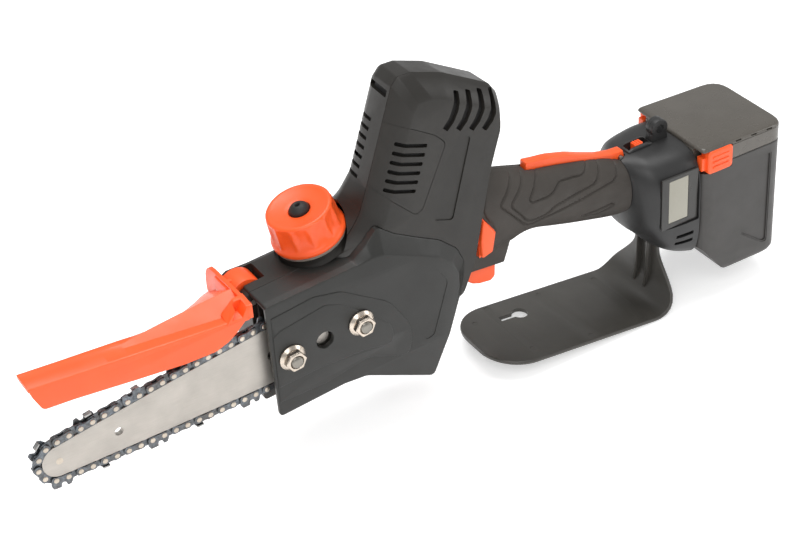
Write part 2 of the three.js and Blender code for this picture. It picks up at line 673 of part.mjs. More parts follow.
function batteryOutline(shrink) {
  const x = BATTERY_HALF_X - shrink;
  const y = BATTERY_HALF_Y - shrink;
  const farR = 12 - shrink;
  const nearR = 7 - shrink;
  return [
    ...arc(x - farR, y - farR, farR, 0, 90, 5), [-x + 4, y], [-x, y - 4], [-x, -y + 4], [-x + 4, -y],
    ...arc(x - nearR, -y + nearR, nearR, -90, 0, 4),
  ];
}

// The part of the battery below the slant of its front edge, kept clear by a margin.
function underSlant(margin) {
  return plate([
    [-60, 30 + margin], [-BATTERY_HALF_X, 30 + margin], [-16 + margin, -0.01], [-16 + margin, -10], [-60, -10],
  ], -60, 60);
}

const LATCH_X = [-33, -11];
const LATCH_Z = [92, 110.2];

function latchRecess(side) {
  const y0 = side < 0 ? -50 : 27;
  return block(LATCH_X[0] - 10, LATCH_X[1] + GAP, y0, y0 + 23, LATCH_Z[0] - GAP, LATCH_Z[1] + GAP);
}

function batteryCase() {
  const level = (shrink, z) => batteryOutline(shrink).map(([x, y]) => [x, y, z]);
  const shell = loft([level(4.5, 0), level(1.3, 1.3), level(0, 4.5), level(0, LID_BOTTOM - GAP)]);
  const hollow = cut(
    solid(slab(batteryOutline(WALL), 3, LID_BOTTOM + 10)), block(-40, -24, -60, 60, -10, 130), underSlant(4),
  );
  return cut(
    solid(shell).subtract(hollow), underSlant(0),
    block(-40, -33.6, -10.6, 10.6, -5, 88), block(-33.7, -29.8, -14.6, 14.6, -5, 88),
    latchRecess(-1), latchRecess(1),
  );
}

function batteryLid() {
  const shell = solid(slab(batteryOutline(0), LID_BOTTOM, BATTERY_TOP)).subtract(
    solid(slab(batteryOutline(WALL), LID_BOTTOM - 5, BATTERY_TOP - WALL)).subtract(
      solid(block(-40, -24, -60, 60, -10, 130))));
  return cut(shell, latchRecess(-1), latchRecess(1));
}

function latchButton(side) {
  const y = side * (BATTERY_HALF_Y + 1.4);
  const inner = side * 30.5;
  const [x0, x1] = LATCH_X;
  const [z0, z1] = LATCH_Z;
  const pad = block(x0, x1, Math.min(y, inner), Math.max(y, inner), z0, z1);
  const tongue = block(x0 - 3.5, x0 + 2, Math.min(inner, side * 36.5), Math.max(inner, side * 36.5), z0 + 3, z1 - 5);
  return join(pad, tongue);
}

function batteryCells() {
  let cells = join(block(-5, 27, -32.9, -31.5, 8, 94), block(-5, 27, 31.5, 32.9, 8, 94));
  for (let i = 0; i < 10; i += 1) {
    const cell = pinY(1.2 + (i % 2) * 18.8, 12.6 + Math.floor(i / 2) * 18.8, 9.1, -32, 32, 12);
    cells = cells.add(solid(cell));
  }
  return cells;
}

// ---------------------------------------------------------------- assembly

add('main_housing', mainHousing(), blackPlastic);
add('tower_side_cover', towerSideCover(), blackPlastic);
add('vent_grille', ventGrille(), blackPlastic);
add('sprocket_cover', sprocketCover(), coverPlastic);

const gripShape = grip();
add('grip_shell_near', halfOf(gripShape, -1), gripRubber);
add('grip_shell_far', halfOf(gripShape, 1), gripRubber);
const bellShape = bell();
add('bell_shell_near', halfOf(bellShape, -1), blackPlastic);
add('bell_shell_far', halfOf(bellShape, 1), blackPlastic);
add('hand_guard', handGuard(), blackPlastic);

add('bar_guard', barGuard(), orangePlastic);
add('bar_guard_pin', pinY(...GUARD_PIVOT, 2.5, SEAM_Y + 1.2, FAR_Y - 4.4, 12), steel);

add('guide_bar', guideBar(), steel, head);
add('saw_chain', sawChain(), chainSteel, head);
add('nose_sprocket', sprocketTeeth(9.5, 7, 7, -0.7, 0.7, 3.6).translate([NOSE_X, 0, 0]), steel, head);
add('drive_sprocket', sprocketTeeth(12.2, 8.4, 6, -3.4, 3.4, 4 + GAP), steel, head);
add('bar_stud_front', pinY(STUD_FRONT_X, 0, STUD_R, -20.5, 17), steel, head);
add('bar_stud_rear', pinY(STUD_REAR_X, 0, STUD_R, -20.5, 17), steel, head);
for (const [name, x] of [['bar_nut_front', STUD_FRONT_X], ['bar_nut_rear', STUD_REAR_X]]) {
  const nut = geometryOf(barNut()).rotateX(Math.PI);
  add(name, nut.translate(x, COVER_FACE_Y - BAR_Y - GAP, 0), nickel, head);
}
const tensionerProfile = [[0, -7], [5.4, -7], [5.4, -3.2], [3.2, -3.2], [3.2, 10], [0, 10]];
add('tensioner_screw', turnedY(tensionerProfile, 16).translate(TENSIONER_X, 0, 0), steel, head);
add('tensioner_pin', pinY(TENSIONER_X, -13, 1.6, -2.6, 2, 10), steel, head);

add('sprocket_spindle', pinY(0, 0, 4, -7.5, 39, 16), steel, head);
add('sprocket_circlip', turnedY(ring(4 + GAP, 7, -5.6, -4.4), 16), steel, head);
add('spindle_bearing_front', turnedY(ring(4 + GAP, 11, 11.2, 16), 18), steel, head);
add('spindle_bearing_rear', turnedY(ring(4 + GAP, 11, 34.6, 39.2), 18), steel, head);
add('crown_gear', crownGear(), brass, drive);

const canProfile = [
  [MOTOR_R, 44], [MOTOR_R, 102], [8.4, 102], [8.4, 100], [18.7, 100], [18.7, 46], [8.4, 46], [8.4, 44],
  [MOTOR_R, 44],
];
add('motor_can', turnedZ(canProfile, 24), steel, drive);
add('motor_stator', turnedZ(ring(12.8, 18.3, 52, 94), 20), copper, drive);
add('motor_rotor', turnedZ([
  [0, 12], [SHAFT_R, 12], [SHAFT_R, 54], [12.2, 54], [12.2, 92], [SHAFT_R, 92], [SHAFT_R, 116], [0, 116],
], 16), steel, drive);
add('motor_bearing_lower', turnedZ(ring(SHAFT_R + GAP, 8, 43, 47.5), 14), steel, drive);
add('motor_bearing_upper', turnedZ(ring(SHAFT_R + GAP, 8, 98.5, 103), 14), steel, drive);
add('motor_fan', fan(), blackPlastic, drive);
add('motor_mount_plate', turnedZ(ring(9.5, 21, 39.5, 42.5), 20), steel, drive);
add('motor_pinion', pinion(), steel, drive);

add('oil_cap', turnedZ([
  [0, 23.3], [7.4, 23.3], [7.4, 28.5], [20.5, 28.5], [22.5, 26.5], [24, 4], [25.2, 2.5], [25.2, 0], [18, 0],
  [18, 20], [0, 20],
], 24), orangePlastic, capFrame);
add('oil_primer_bulb', turnedZ([
  [0, 27], [6.6, 27], [6.4, 29], [4.6, 31.5], [2, 32.6], [0, 32.6],
], 14), rubber, capFrame);
add('oil_cap_gasket', turnedZ(ring(15.2, 24, -1.9, -0.4), 24), clearPlastic, capFrame);
add('oil_pickup_tube', pinY(0, 0, 1.6, -22, 8, 8).rotateX(Math.PI / 2).translate(-332, 14, 90), clearPlastic);

add('trigger', cut(solid(plate(TRIGGER_OUTLINE, -6.8, 6.8)), pinY(...TRIGGER_PIVOT, 1.9, -8, 8, 8)), orangePlastic);
add('trigger_pin', pinY(...TRIGGER_PIVOT, 1.5, -7.4, 7.4, 10), steel);
add('trigger_switch', block(-212, -186, -9, 9, 93, 104), blackPlastic);
add('safety_lever', cut(solid(plate(LEVER_OUTLINE, -4.5, 4.5)), pinY(...LEVER_PIVOT, 1.9, -8, 8, 8)), orangePlastic);
add('safety_lever_pin', pinY(...LEVER_PIVOT, 1.5, -5, 5, 10), steel);
add('lock_button', lockButton(), orangePlastic);
add('power_slider', join(block(-70, -62, -3, 3, 104, 114.8), block(-73, -60, -5.5, 5.5, 101.5, 104)), orangePlastic);

add('display_lens', block(-70.5, -38.5, -36.6, -34, 57.4, 99.5), displayGlass);
add('display_module', block(-63.5, -46, -33.2, -29, 61.5, 96.5), board);
add('controller_board', block(-75, -44, -22, 22, 63, 65), board);

add('battery_rail', join(
  block(-37.1, -33, -9.9, 9.9, 34, 84), block(-33.3, -30.3, -13.9, 13.9, 34, 84), block(-44, -36.8, -7.4, 7.4, 36, 80),
), blackPlastic);
add('battery_case', batteryCase(), blackPlastic);
add('battery_lid', batteryLid(), blackPlastic);
add('battery_cells', batteryCells(), clearPlastic);
add('battery_board', block(-20, 28, -25, 25, 100, 101.6), board);
add('latch_button_near', latchButton(-1), orangePlastic);
add('latch_button_far', latchButton(1), orangePlastic);

farScrews.forEach((place, i) => add(`housing_screw_${i + 1}`, screw(...place), steel));

export default saw;
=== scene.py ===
# The look of a cordless pruning chainsaw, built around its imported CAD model.
# Lengths in this file are millimetres until a mesh is made; X runs rearward, Y away from the
# sprocket cover, Z up, and the origin is the centre of the battery's underside.

import json
from math import atan2, copysign, cos, pi, radians, sin, tan

import bmesh
import bpy
import numpy as np
from mathutils import Matrix, Vector

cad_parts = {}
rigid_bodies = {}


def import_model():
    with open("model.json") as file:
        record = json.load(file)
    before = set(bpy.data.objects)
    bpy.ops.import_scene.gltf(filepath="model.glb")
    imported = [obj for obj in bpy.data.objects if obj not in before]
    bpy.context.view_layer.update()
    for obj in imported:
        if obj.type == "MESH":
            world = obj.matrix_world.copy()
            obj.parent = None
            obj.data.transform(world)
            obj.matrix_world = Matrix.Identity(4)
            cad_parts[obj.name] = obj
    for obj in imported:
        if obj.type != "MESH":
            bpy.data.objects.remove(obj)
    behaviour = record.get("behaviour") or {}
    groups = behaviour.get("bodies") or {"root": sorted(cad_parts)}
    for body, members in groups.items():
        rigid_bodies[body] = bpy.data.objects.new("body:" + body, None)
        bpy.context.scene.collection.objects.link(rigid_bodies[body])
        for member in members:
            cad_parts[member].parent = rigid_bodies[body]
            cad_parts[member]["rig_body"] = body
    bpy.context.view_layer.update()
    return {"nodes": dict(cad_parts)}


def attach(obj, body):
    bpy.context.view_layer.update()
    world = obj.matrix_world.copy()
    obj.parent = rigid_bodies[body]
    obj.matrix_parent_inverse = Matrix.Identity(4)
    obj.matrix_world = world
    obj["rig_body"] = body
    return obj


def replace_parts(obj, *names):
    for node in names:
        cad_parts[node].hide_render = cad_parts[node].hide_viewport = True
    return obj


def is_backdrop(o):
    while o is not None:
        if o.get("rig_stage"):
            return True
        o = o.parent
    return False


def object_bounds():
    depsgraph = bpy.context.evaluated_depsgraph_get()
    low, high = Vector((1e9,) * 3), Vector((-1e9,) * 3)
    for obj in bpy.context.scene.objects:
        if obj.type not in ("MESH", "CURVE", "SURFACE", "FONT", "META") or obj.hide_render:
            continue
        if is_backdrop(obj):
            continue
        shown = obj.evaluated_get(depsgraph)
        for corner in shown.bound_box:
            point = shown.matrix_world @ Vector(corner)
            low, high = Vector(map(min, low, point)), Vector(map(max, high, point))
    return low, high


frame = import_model()
MM = 0.001


# -------- materials

def srgb(r, g, b):
    def linear(c):
        c /= 255
        return c / 12.92 if c <= 0.04045 else ((c + 0.055) / 1.055) ** 2.4
    return (linear(r), linear(g), linear(b), 1)


class Graph:
    """A material's node tree, with short calls for the nodes used here."""

    def __init__(self, name):
        self.material = bpy.data.materials.new(name)
        self.material.use_nodes = True
        self.tree = self.material.node_tree
        self.shader = self.tree.nodes["Principled BSDF"]
        self.place = self.node("ShaderNodeTexCoord").outputs["Object"]

    def node(self, kind, **values):
        made = self.tree.nodes.new(kind)
        for key, value in values.items():
            if hasattr(made, key):
                setattr(made, key, value)
            else:
                made.inputs[key].default_value = value
        return made

    def link(self, source, target):
        self.tree.links.new(source, target)

    def stretched(self, scale):
        mapping = self.node("ShaderNodeMapping")
        self.link(self.place, mapping.inputs["Vector"])
        mapping.inputs["Scale"].default_value = scale
        return mapping.outputs["Vector"]

    def noise(self, scale, detail=3, roughness=0.55, vector=None):
        made = self.node("ShaderNodeTexNoise", Scale=scale, Detail=detail, Roughness=roughness)
        self.link(vector or self.place, made.inputs["Vector"])
        return made.outputs["Fac"]

    def spread(self, factor, low, high, start=0.3, end=0.7):
        made = self.node("ShaderNodeMapRange")
        self.link(factor, made.inputs["Value"])
        for key, value in (("From Min", start), ("From Max", end), ("To Min", low), ("To Max", high)):
            made.inputs[key].default_value = value
        return made.outputs["Result"]

    def blend(self, factor, a, b):
        made = self.node("ShaderNodeMix", data_type="RGBA")
        self.link(factor, made.inputs["Factor"])
        for key, value in ((6, a), (7, b)):
            if isinstance(value, tuple):
                made.inputs[key].default_value = value
            else:
                self.link(value, made.inputs[key])
        return made.outputs[2]

    def bump(self, height, strength, distance, after=None):
        made = self.node("ShaderNodeBump", Strength=strength, Distance=distance)
        self.link(height, made.inputs["Height"])
        if after:
            self.link(after, made.inputs["Normal"])
        return made.outputs["Normal"]

    def finish(self, colour, roughness, metallic=0.0, normal=None, **extra):
        for key, value in (("Base Color", colour), ("Roughness", roughness)):
            if isinstance(value, (tuple, float)):
                self.shader.inputs[key].default_value = value
            else:
                self.link(value, self.shader.inputs[key])
        self.shader.inputs["Metallic"].default_value = metallic
        if normal:
            self.link(normal, self.shader.inputs["Normal"])
        for key, value in extra.items():
            self.shader.inputs[key.replace("_", " ")].default_value = value
        return self.material


def scaled(colour, factor):
    return tuple(min(1, c * factor) for c in colour[:3]) + (1,)


def moulded(name, colour, rough, grain=0.12, grain_size=0.45, mottling=0.12, edge=1.5, **extra):
    """Injection-moulded plastic: spark-eroded grain, faint cloudiness, paler rubbed edges."""
    g = Graph(name)
    cloud = g.spread(g.noise(38, 4), 0, 1)
    base = g.blend(cloud, scaled(colour, 1 - mottling), scaled(colour, 1 + mottling))
    geometry = g.node("ShaderNodeNewGeometry")
    rub = g.spread(geometry.outputs["Pointiness"], 0, 0.55, 0.53, 0.6)
    patchy = g.node("ShaderNodeMath", operation="MULTIPLY")
    g.link(rub, patchy.inputs[0])
    g.link(g.spread(g.noise(160, 3), 0.2, 1), patchy.inputs[1])
    tinted = g.blend(patchy.outputs[0], base, scaled(colour, edge))
    fine = g.noise(1000 / grain_size, 2, 0.6)
    smears = g.noise(55, 5, 0.65)
    normal = g.bump(fine, grain, 0.0002)
    return g.finish(tinted, g.spread(smears, rough - 0.06, rough + 0.08), 0.0, normal, **extra)


def ground_steel(name, colour, rough, streak=(8, 400, 400), depth=0.08, stain=0.1, metallic=0.9):
    """Metal with grinding lines along one axis, faint stains and fine scratches."""
    g = Graph(name)
    lines = g.noise(14, 6, 0.7, g.stretched(streak))
    cloud = g.spread(g.noise(45, 5), 0, 1)
    base = g.blend(cloud, scaled(colour, 1 - stain), scaled(colour, 1 + stain))
    lined = g.blend(g.spread(lines, 0, 0.25), base, scaled(colour, 0.72))
    scratches = g.noise(60, 2, 0.5, g.stretched((streak[1] * 0.02, 3, streak[2] * 0.1)))
    normal = g.bump(lines, depth, 0.0002, g.bump(scratches, depth * 0.6, 0.0003))
    return g.finish(lined, g.spread(lines, rough - 0.08, rough + 0.12), metallic, normal)


def oily_steel(name, colour, rough):
    """Blued chain steel with oil and dust caught on it."""
    g = Graph(name)
    patch = g.spread(g.noise(420, 5, 0.7), 0, 1, 0.35, 0.65)
    film = g.spread(g.noise(110, 4), 0, 0.6)
    base = g.blend(patch, scaled(colour, 0.55), scaled(colour, 1.35))
    dusty = g.blend(film, base, srgb(84, 76, 66))
    normal = g.bump(g.noise(1500, 3), 0.15, 0.0002)
    return g.finish(dusty, g.spread(g.noise(300, 3), rough - 0.12, rough + 0.15), 0.85, normal)


MATERIALS = {
    "black_plastic": moulded("black_moulding", srgb(62, 60, 57), 0.5, 0.18, 0.5, 0.1, 1.6),
    "cover_plastic": moulded("cover_moulding", srgb(40, 40, 38), 0.4, 0.1, 0.4, 0.08, 1.5,
                             Specular_IOR_Level=0.4),
    "grip_rubber": moulded("soft_touch_rubber", srgb(54, 49, 44), 0.66, 0.4, 0.7, 0.1, 1.4),
    "orange_plastic": moulded("orange_moulding", srgb(250, 91, 34), 0.36, 0.06, 0.4, 0.04, 1.12),
    "bar_steel": ground_steel("ground_bar_steel", srgb(182, 177, 170), 0.42),
    "nickel": ground_steel("nickel_plate", srgb(214, 202, 188), 0.24, (60, 60, 60), 0.05, 0.12, 1.0),
    "chain_steel": oily_steel("chain_links_steel", srgb(112, 118, 124), 0.38),
    "copper_winding": ground_steel("copper_wire", srgb(190, 110, 70), 0.4, (900, 900, 20), 0.4),
    "gear_metal": ground_steel("sintered_gear", srgb(196, 160, 90), 0.45, (80, 80, 80), 0.1),
    "clear_seal": moulded("clear_seal_ring", srgb(168, 158, 148), 0.3, 0.03, 0.6, 0.03, 1.05,
                          Transmission_Weight=0.35),
    "black_rubber": moulded("black_rubber", srgb(30, 29, 28), 0.55, 0.2, 0.6, 0.1, 1.6),
    "display": moulded("display_bezel", srgb(44, 43, 41), 0.3, 0.03, 0.5, 0.06, 1.4),
    "circuit_board": moulded("circuit_board", srgb(40, 104, 62), 0.5, 0.2, 1.2, 0.2, 1.3),
    "cell_metal": moulded("cell_wrap", srgb(60, 120, 165), 0.35, 0.05, 0.5, 0.1, 1.2),
    # Finishes of single pieces, where they differ from their slot's.
    "rivet": ground_steel("rivet_heads", srgb(196, 186, 172), 0.34, (90, 90, 90), 0.12, 0.18),
    "cutter": ground_steel("chromed_cutters", srgb(168, 168, 166), 0.3, (200, 200, 60), 0.12, 0.2),
    "lcd": moulded("display_window", srgb(147, 144, 130), 0.2, 0.01, 0.8, 0.05, 1.0, Coat_Weight=0.6),
    # Painted shade: a near-black colour for the sheet that stands in for the shaded hollow behind the vent
    # slots.
    "cavity_shade": moulded("shaded_cavity", srgb(20, 19, 18), 0.7, 0.1, 0.6, 0.1, 1.2),
    "housing": moulded("housing_moulding", srgb(38, 36, 33), 0.42, 0.12, 0.45, 0.08, 1.6,
                       Specular_IOR_Level=0.38),
    "bell": moulded("bell_moulding", srgb(43, 43, 43), 0.4, 0.1, 0.45, 0.08, 1.6, Specular_IOR_Level=0.4),
    "case": moulded("battery_case_moulding", srgb(57, 55, 53), 0.46, 0.12, 0.45, 0.08, 1.6),
    "lid": moulded("battery_lid_moulding", srgb(84, 80, 74), 0.26, 0.05, 0.45, 0.08, 1.4),
    "tray": moulded("guard_tray_moulding", srgb(66, 64, 60), 0.36, 0.08, 0.45, 0.08, 1.5),
    "screw": ground_steel("zinc_screw", srgb(150, 146, 138), 0.35, (90, 90, 90), 0.1, 0.2),
}


# -------- meshes

# A boolean step has failed when less than this share of the volume is left.
LEAST_LEFT, LEAST_SHARED = 0.05, 0.0001
NUDGES = (0, 0.013, -0.017, 0.029, -0.037)


def linked(name, data):
    made = bpy.data.objects.new(name, data)
    bpy.context.scene.collection.objects.link(made)
    return made


def to_mesh(points, faces, name="shape"):
    mesh = bpy.data.meshes.new(name)
    mesh.from_pydata([(x * MM, y * MM, z * MM) for x, y, z in points], [], faces)
    mesh.validate()
    shape = linked(name, mesh)
    recalculate(shape)
    return shape


def recalculate(shape):
    work = bmesh.new()
    work.from_mesh(shape.data)
    bmesh.ops.recalc_face_normals(work, faces=work.faces)
    work.to_mesh(shape.data)
    work.free()


def applied(shape):
    graph = bpy.context.evaluated_depsgraph_get()
    mesh = bpy.data.meshes.new_from_object(shape.evaluated_get(graph))
    shape.modifiers.clear()
    shape.data = mesh
    return shape


def volume(mesh):
    work = bmesh.new()
    work.from_mesh(mesh)
    found = work.calc_volume()
    work.free()
    return found


def combine(shape, other, operation):
    """One boolean step; when coincident faces spoil it, it is tried again with the other shape nudged."""
    before = shape.data
    least = volume(before) * (LEAST_SHARED if operation == "INTERSECT" else LEAST_LEFT)
    for nudge in NUDGES:
        shape.data = before
        other.location = Vector((nudge, nudge * 0.7, nudge * 1.3)) * MM
        modifier = shape.modifiers.new("combine", "BOOLEAN")
        modifier.object = other
        modifier.operation = operation
        modifier.solver = "EXACT"
        bpy.context.view_layer.update()
        applied(shape)
        if volume(shape.data) > least:
            break
    bpy.data.objects.remove(other)
    return shape


def cut(shape, *others):
    for other in others:
        combine(shape, other, "DIFFERENCE")
    return shape


def fuse(shape, *others):
    for other in others:
        combine(shape, other, "UNION")
    return shape


def only(shape, other):
    return combine(shape, other, "INTERSECT")


def copy_of(shape):
    return linked("copy", shape.data.copy())


def grouped(shapes):
    """Several closed shapes as one object, each still its own closed surface."""
    work = bmesh.new()
    for shape in shapes:
        work.from_mesh(shape.data)
        bpy.data.objects.remove(shape)
    mesh = bpy.data.meshes.new("group")
    work.to_mesh(mesh)
    work.free()
    return linked("group", mesh)


def lean(shape, matrix):
    shape.data.transform(Matrix.Translation(matrix.translation * MM) @ matrix.to_3x3().to_4x4())
    return shape


def smooth(shape, angle=32):
    """Shades smooth, but keeps an edge crisp where its faces meet at more than the angle."""
    work = bmesh.new()
    work.from_mesh(shape.data)
    limit = radians(angle)
    for face in work.faces:
        face.smooth = True
    for edge in work.edges:
        edge.smooth = len(edge.link_faces) != 2 or edge.calc_face_angle(0) < limit
    work.to_mesh(shape.data)
    work.free()
    return shape


def soften(shape, width, segments=2, angle=40):
    """Rounds the edges where faces meet at more than the angle."""
    modifier = shape.modifiers.new("soften", "BEVEL")
    modifier.width = width * MM
    modifier.segments = segments
    modifier.limit_method = "ANGLE"
    modifier.angle_limit = radians(angle)
    modifier.use_clamp_overlap = True
    return applied(shape)


def fillet(points, radius, steps=5):
    """Rounds the corners of an outline; radius is one number, or one per corner."""
    out = []
    for i, point in enumerate(points):
        here = Vector(point)
        before = Vector(points[i - 1]) - here
        after = Vector(points[(i + 1) % len(points)]) - here
        half = before.angle(after, pi) / 2
        wanted = (radius[i] if isinstance(radius, (list, tuple)) else radius) / max(tan(half), 0.05)
        a = here + before.normalized() * min(wanted, before.length * 0.46)
        b = here + after.normalized() * min(wanted, after.length * 0.46)
        for k in range(steps + 1):
            t = k / steps
            out.append(tuple(a * (1 - t) ** 2 + here * 2 * t * (1 - t) + b * t * t))
    return out


def inset(points, distance):
    """Moves each corner of an outline inwards by a distance (outwards when negative)."""
    area = sum(p[0] * points[i - 1][1] - points[i - 1][0] * p[1] for i, p in enumerate(points))
    turn = -copysign(1, area)
    out = []
    for i, point in enumerate(points):
        here = Vector(point)
        a = (here - Vector(points[i - 1])).normalized()
        b = (Vector(points[(i + 1) % len(points)]) - here).normalized()
        normal = Vector((-a.y - b.y, a.x + b.x)).normalized()
        stretch = max(0.5, normal.dot(Vector((-a.y, a.x))))
        out.append(tuple(here + normal * (turn * distance / stretch)))
    return out


def arc(cx, cz, r, start, end, steps):
    angles = [radians(start + (end - start) * i / steps) for i in range(steps + 1)]
    return [(cx + r * cos(a), cz + r * sin(a)) for a in angles]


def drawn(outline, pull=0.0, corner=0.0, steps=5):
    """An outline pulled inwards, its corners then rounded."""
    line = inset(outline, pull) if pull else outline
    return fillet(line, corner, steps) if corner else line


def rectangle(x0, x1, z0, z1, corner=0.0):
    return drawn([(x0, z0), (x1, z0), (x1, z1), (x0, z1)], 0, corner)


def loft(rings):
    """A closed solid through rings that have equal numbers of points."""
    count = len(rings[0])
    points = [p for ring in rings for p in ring]
    faces = [tuple(range(count)), tuple(range(len(points) - 1, len(points) - count - 1, -1))]
    for k in range(len(rings) - 1):
        for i in range(count):
            a, b = k * count + i, k * count + (i + 1) % count
            faces.append((a, a + count, b + count, b))
    return to_mesh(points, faces)


def eased(low, high, edge, steps=3, far=None):
    """Levels from low to high, each with its inset, that round both rims."""
    def rim(radius):
        turns = [pi / 2 * k / steps for k in range(steps + 1)] if radius else []
        return [(radius * (1 - cos(t)), radius * (1 - sin(t))) for t in turns] or [(0, 0)]

    end = rim(edge if far is None else far)
    return [(low + d, i) for d, i in rim(edge)] + [(high - d, i) for d, i in reversed(end)]


def plate(outline, y0, y1, edge=0.0, corner=0.0, far=None, steps=3):
    """An outline in X and Z between two Y planes, with rounded corners and rims."""
    return loft([[(x, y, z) for x, z in drawn(outline, pull, corner)]
                 for y, pull in eased(y0, y1, edge, steps, far)])


def slab(outline, levels, corner=0.0):
    """An outline in X and Y through Z levels, each with its inset."""
    return loft([[(x, y, z) for x, y in drawn(outline, pull, corner)] for z, pull in levels])


def block(x0, x1, y0, y1, z0, z1, edge=0.0):
    return plate(rectangle(x0, x1, z0, z1), y0, y1, edge)


def sided(side, a, b):
    """Two distances from the middle plane as a low and a high Y, on the near (-1) or far (1) side."""
    return sorted((side * a, side * b))


def turned(profile, segments=48, ripple=None):
    """A closed shape turned about Z from (radius, z) points; ripple changes the radius by angle."""
    rings = []
    for r, z in profile:
        ring = []
        for i in range(segments):
            angle = 2 * pi * i / segments
            radius = max(r, 0.001) + (ripple(angle, r, z) if ripple else 0)
            ring.append((radius * cos(angle), radius * sin(angle), z))
        rings.append(ring)
    return loft(rings)


def along_y(x, z, y=0.0):
    """Turns a Z-axis shape so its axis runs along -Y, and puts it at a point."""
    return Matrix.Translation((x, y, z)) @ Matrix.Rotation(pi / 2, 4, "X")


def bore(x, z, r, y0, y1, segments=32, frame_matrix=None):
    hole = lean(turned([(r, -y1), (r, -y0)], segments), along_y(x, z))
    return lean(hole, frame_matrix) if frame_matrix else hole


def extra(shape, name, node, slot, finish=None, angle=32):
    """Gives a finished shape its name and material, and rides it on a CAD node's body."""
    shape.name = name
    shape.data.name = name
    smooth(shape, angle)
    shape.data.materials.clear()
    shape.data.materials.append(MATERIALS[finish or slot])
    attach(shape, frame["nodes"][node]["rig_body"])
    return shape


def settle(shape, name, node, slot, finish=None, angle=32):
    """As extra, for a shape that stands for the CAD node."""
    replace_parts(extra(shape, name, node, slot, finish, angle), node)
    return shape


def settle_halves(shape, name, node, slot, finish=None, angle=32):
    """Settles the near and far halves of a shape; both names have a place for the side."""
    for side, y0, y1 in (("near", -80, -0.1), ("far", 0.1, 80)):
        half = only(copy_of(shape), block(-450, 60, y0, y1, -40, 300))
        settle(half, name % side, node % side, slot, finish, angle)
    bpy.data.objects.remove(shape)


# -------- frames and outlines

def tilted(x, y, z, degrees):
    return Matrix.Translation((x, y, z)) @ Matrix.Rotation(radians(degrees), 4, "Y")


BAR_Y = -19
SPROCKET = (-259.7, 87.2)
HEAD = tilted(SPROCKET[0], BAR_Y, SPROCKET[1], -5.2)
LEAN = 19.2
LEAN_SIN, LEAN_COS = sin(radians(LEAN)), cos(radians(LEAN))
TOWER = tilted(SPROCKET[0], 0, SPROCKET[1], LEAN)
CAP = tilted(-322.5, 8, 129.5, -15)
HINGE = (-376, 112)
WALL = 2.6


def tower_point(u, w):
    """Tower coordinates: u rearward from the front face, w up along the lean."""
    across = u - 329.5
    return (across * LEAN_COS + w * LEAN_SIN, -across * LEAN_SIN + w * LEAN_COS)


LOWER = [
    (-379, 121.6), (-312, 127), (-301, 135), (-292, 144.5), (-279.5, 134.5), (-262, 124.5), (-246, 116),
    (-233, 104), (-228, 92), (-228.5, 80), (-233, 64), (-242, 44), (-258, 12), (-311, 37), (-328, 38),
    (-377, 33),
]
LOWER_CORNERS = [2, 8, 6, 3, 14, 20, 20, 12, 12, 14, 20, 20, 4, 12, 12, 3]
COVER_FACE = [
    (-379, 121.2), (-312, 126), (-300, 127.5), (-291, 126.5), (-279, 121), (-264, 114.5), (-250, 108),
    (-240, 99), (-235.5, 88), (-235.5, 78), (-238.5, 62), (-245, 43), (-259.5, 13.5), (-311, 37), (-328, 38),
    (-377, 33.4),
]


def tower_outline(depth, pulled=0.0):
    """The tower seen from the side; pulled moves its foot back from the oil cap."""
    rear = depth * 0.05
    leaning = [
        (depth - 34 + pulled, 16), (depth - 19 + pulled * 0.75, 30), (depth - 6 + pulled * 0.3, 44),
        (depth, 62), (depth, 132 - depth), (depth + 3, 139 - depth), (depth + 12, 142 - depth),
        (36, 142 - depth), (75 - rear, 135 - depth), (83 - rear, 129 - depth), (86 - rear, 121 - depth),
        (86.5 - rear, 82), (90 - rear, 50),
    ]
    level = [(-218.5 - rear, 87), (-228 - rear, 66), (-262, 50), (-330, 90)]
    return [tower_point(u, w) for u, w in leaning] + level


FOOT_PULL, SHOULDER_Y = 19, 12.5
TOWER_CORNERS = [4, 30, 30, 30, 3, 3, 4, 20, 8, 5, 12, 60, 60, 20, 8, 4, 4]


def tower_solid(shrink=0.0):
    """The leaning motor housing, filled; shrink moves its whole surface inwards."""
    shoulders = [
        (-24, 13.6), (-23.6, 12.6), (-22.6, 10.6), (-20, 6.8), (-16, 2.9), (-13.6, 0.9), (-12, 0), (8, 0.8),
        (11, 1.6), (15, 3.8), (20, 8), (22.8, 11), (23.7, 12.7), (24, 13.6),
    ]
    rings = []
    for y, depth in shoulders:
        line = tower_outline(depth, FOOT_PULL if y < 0 else 0)
        y -= copysign(shrink, y) if abs(y) > SHOULDER_Y else 0
        rings.append([(x, y, z) for x, z in drawn(line, shrink, TOWER_CORNERS, 4)])
    return loft(rings)


def tower_slot(u, w, line, y0, y1):
    """A slot's solid: an outline about a point of the tower, leaning with it."""
    x, z = tower_point(u, w)
    return lean(plate(line, y0, y1), tilted(x, 0, z, LEAN))


def above(w):
    """Everything near the tower that is higher than w along its lean."""
    return lean(block(-70, 60, -60, 60, w, 220), TOWER)


def cap_room():
    return lean(turned([(26, -2.4), (26, 60)], 64), CAP)


# -------- bar guard

def near_ridge(x):
    """Height of the guard's near upper edge."""
    return 128.3 - 0.0718 * (x + 535.7)


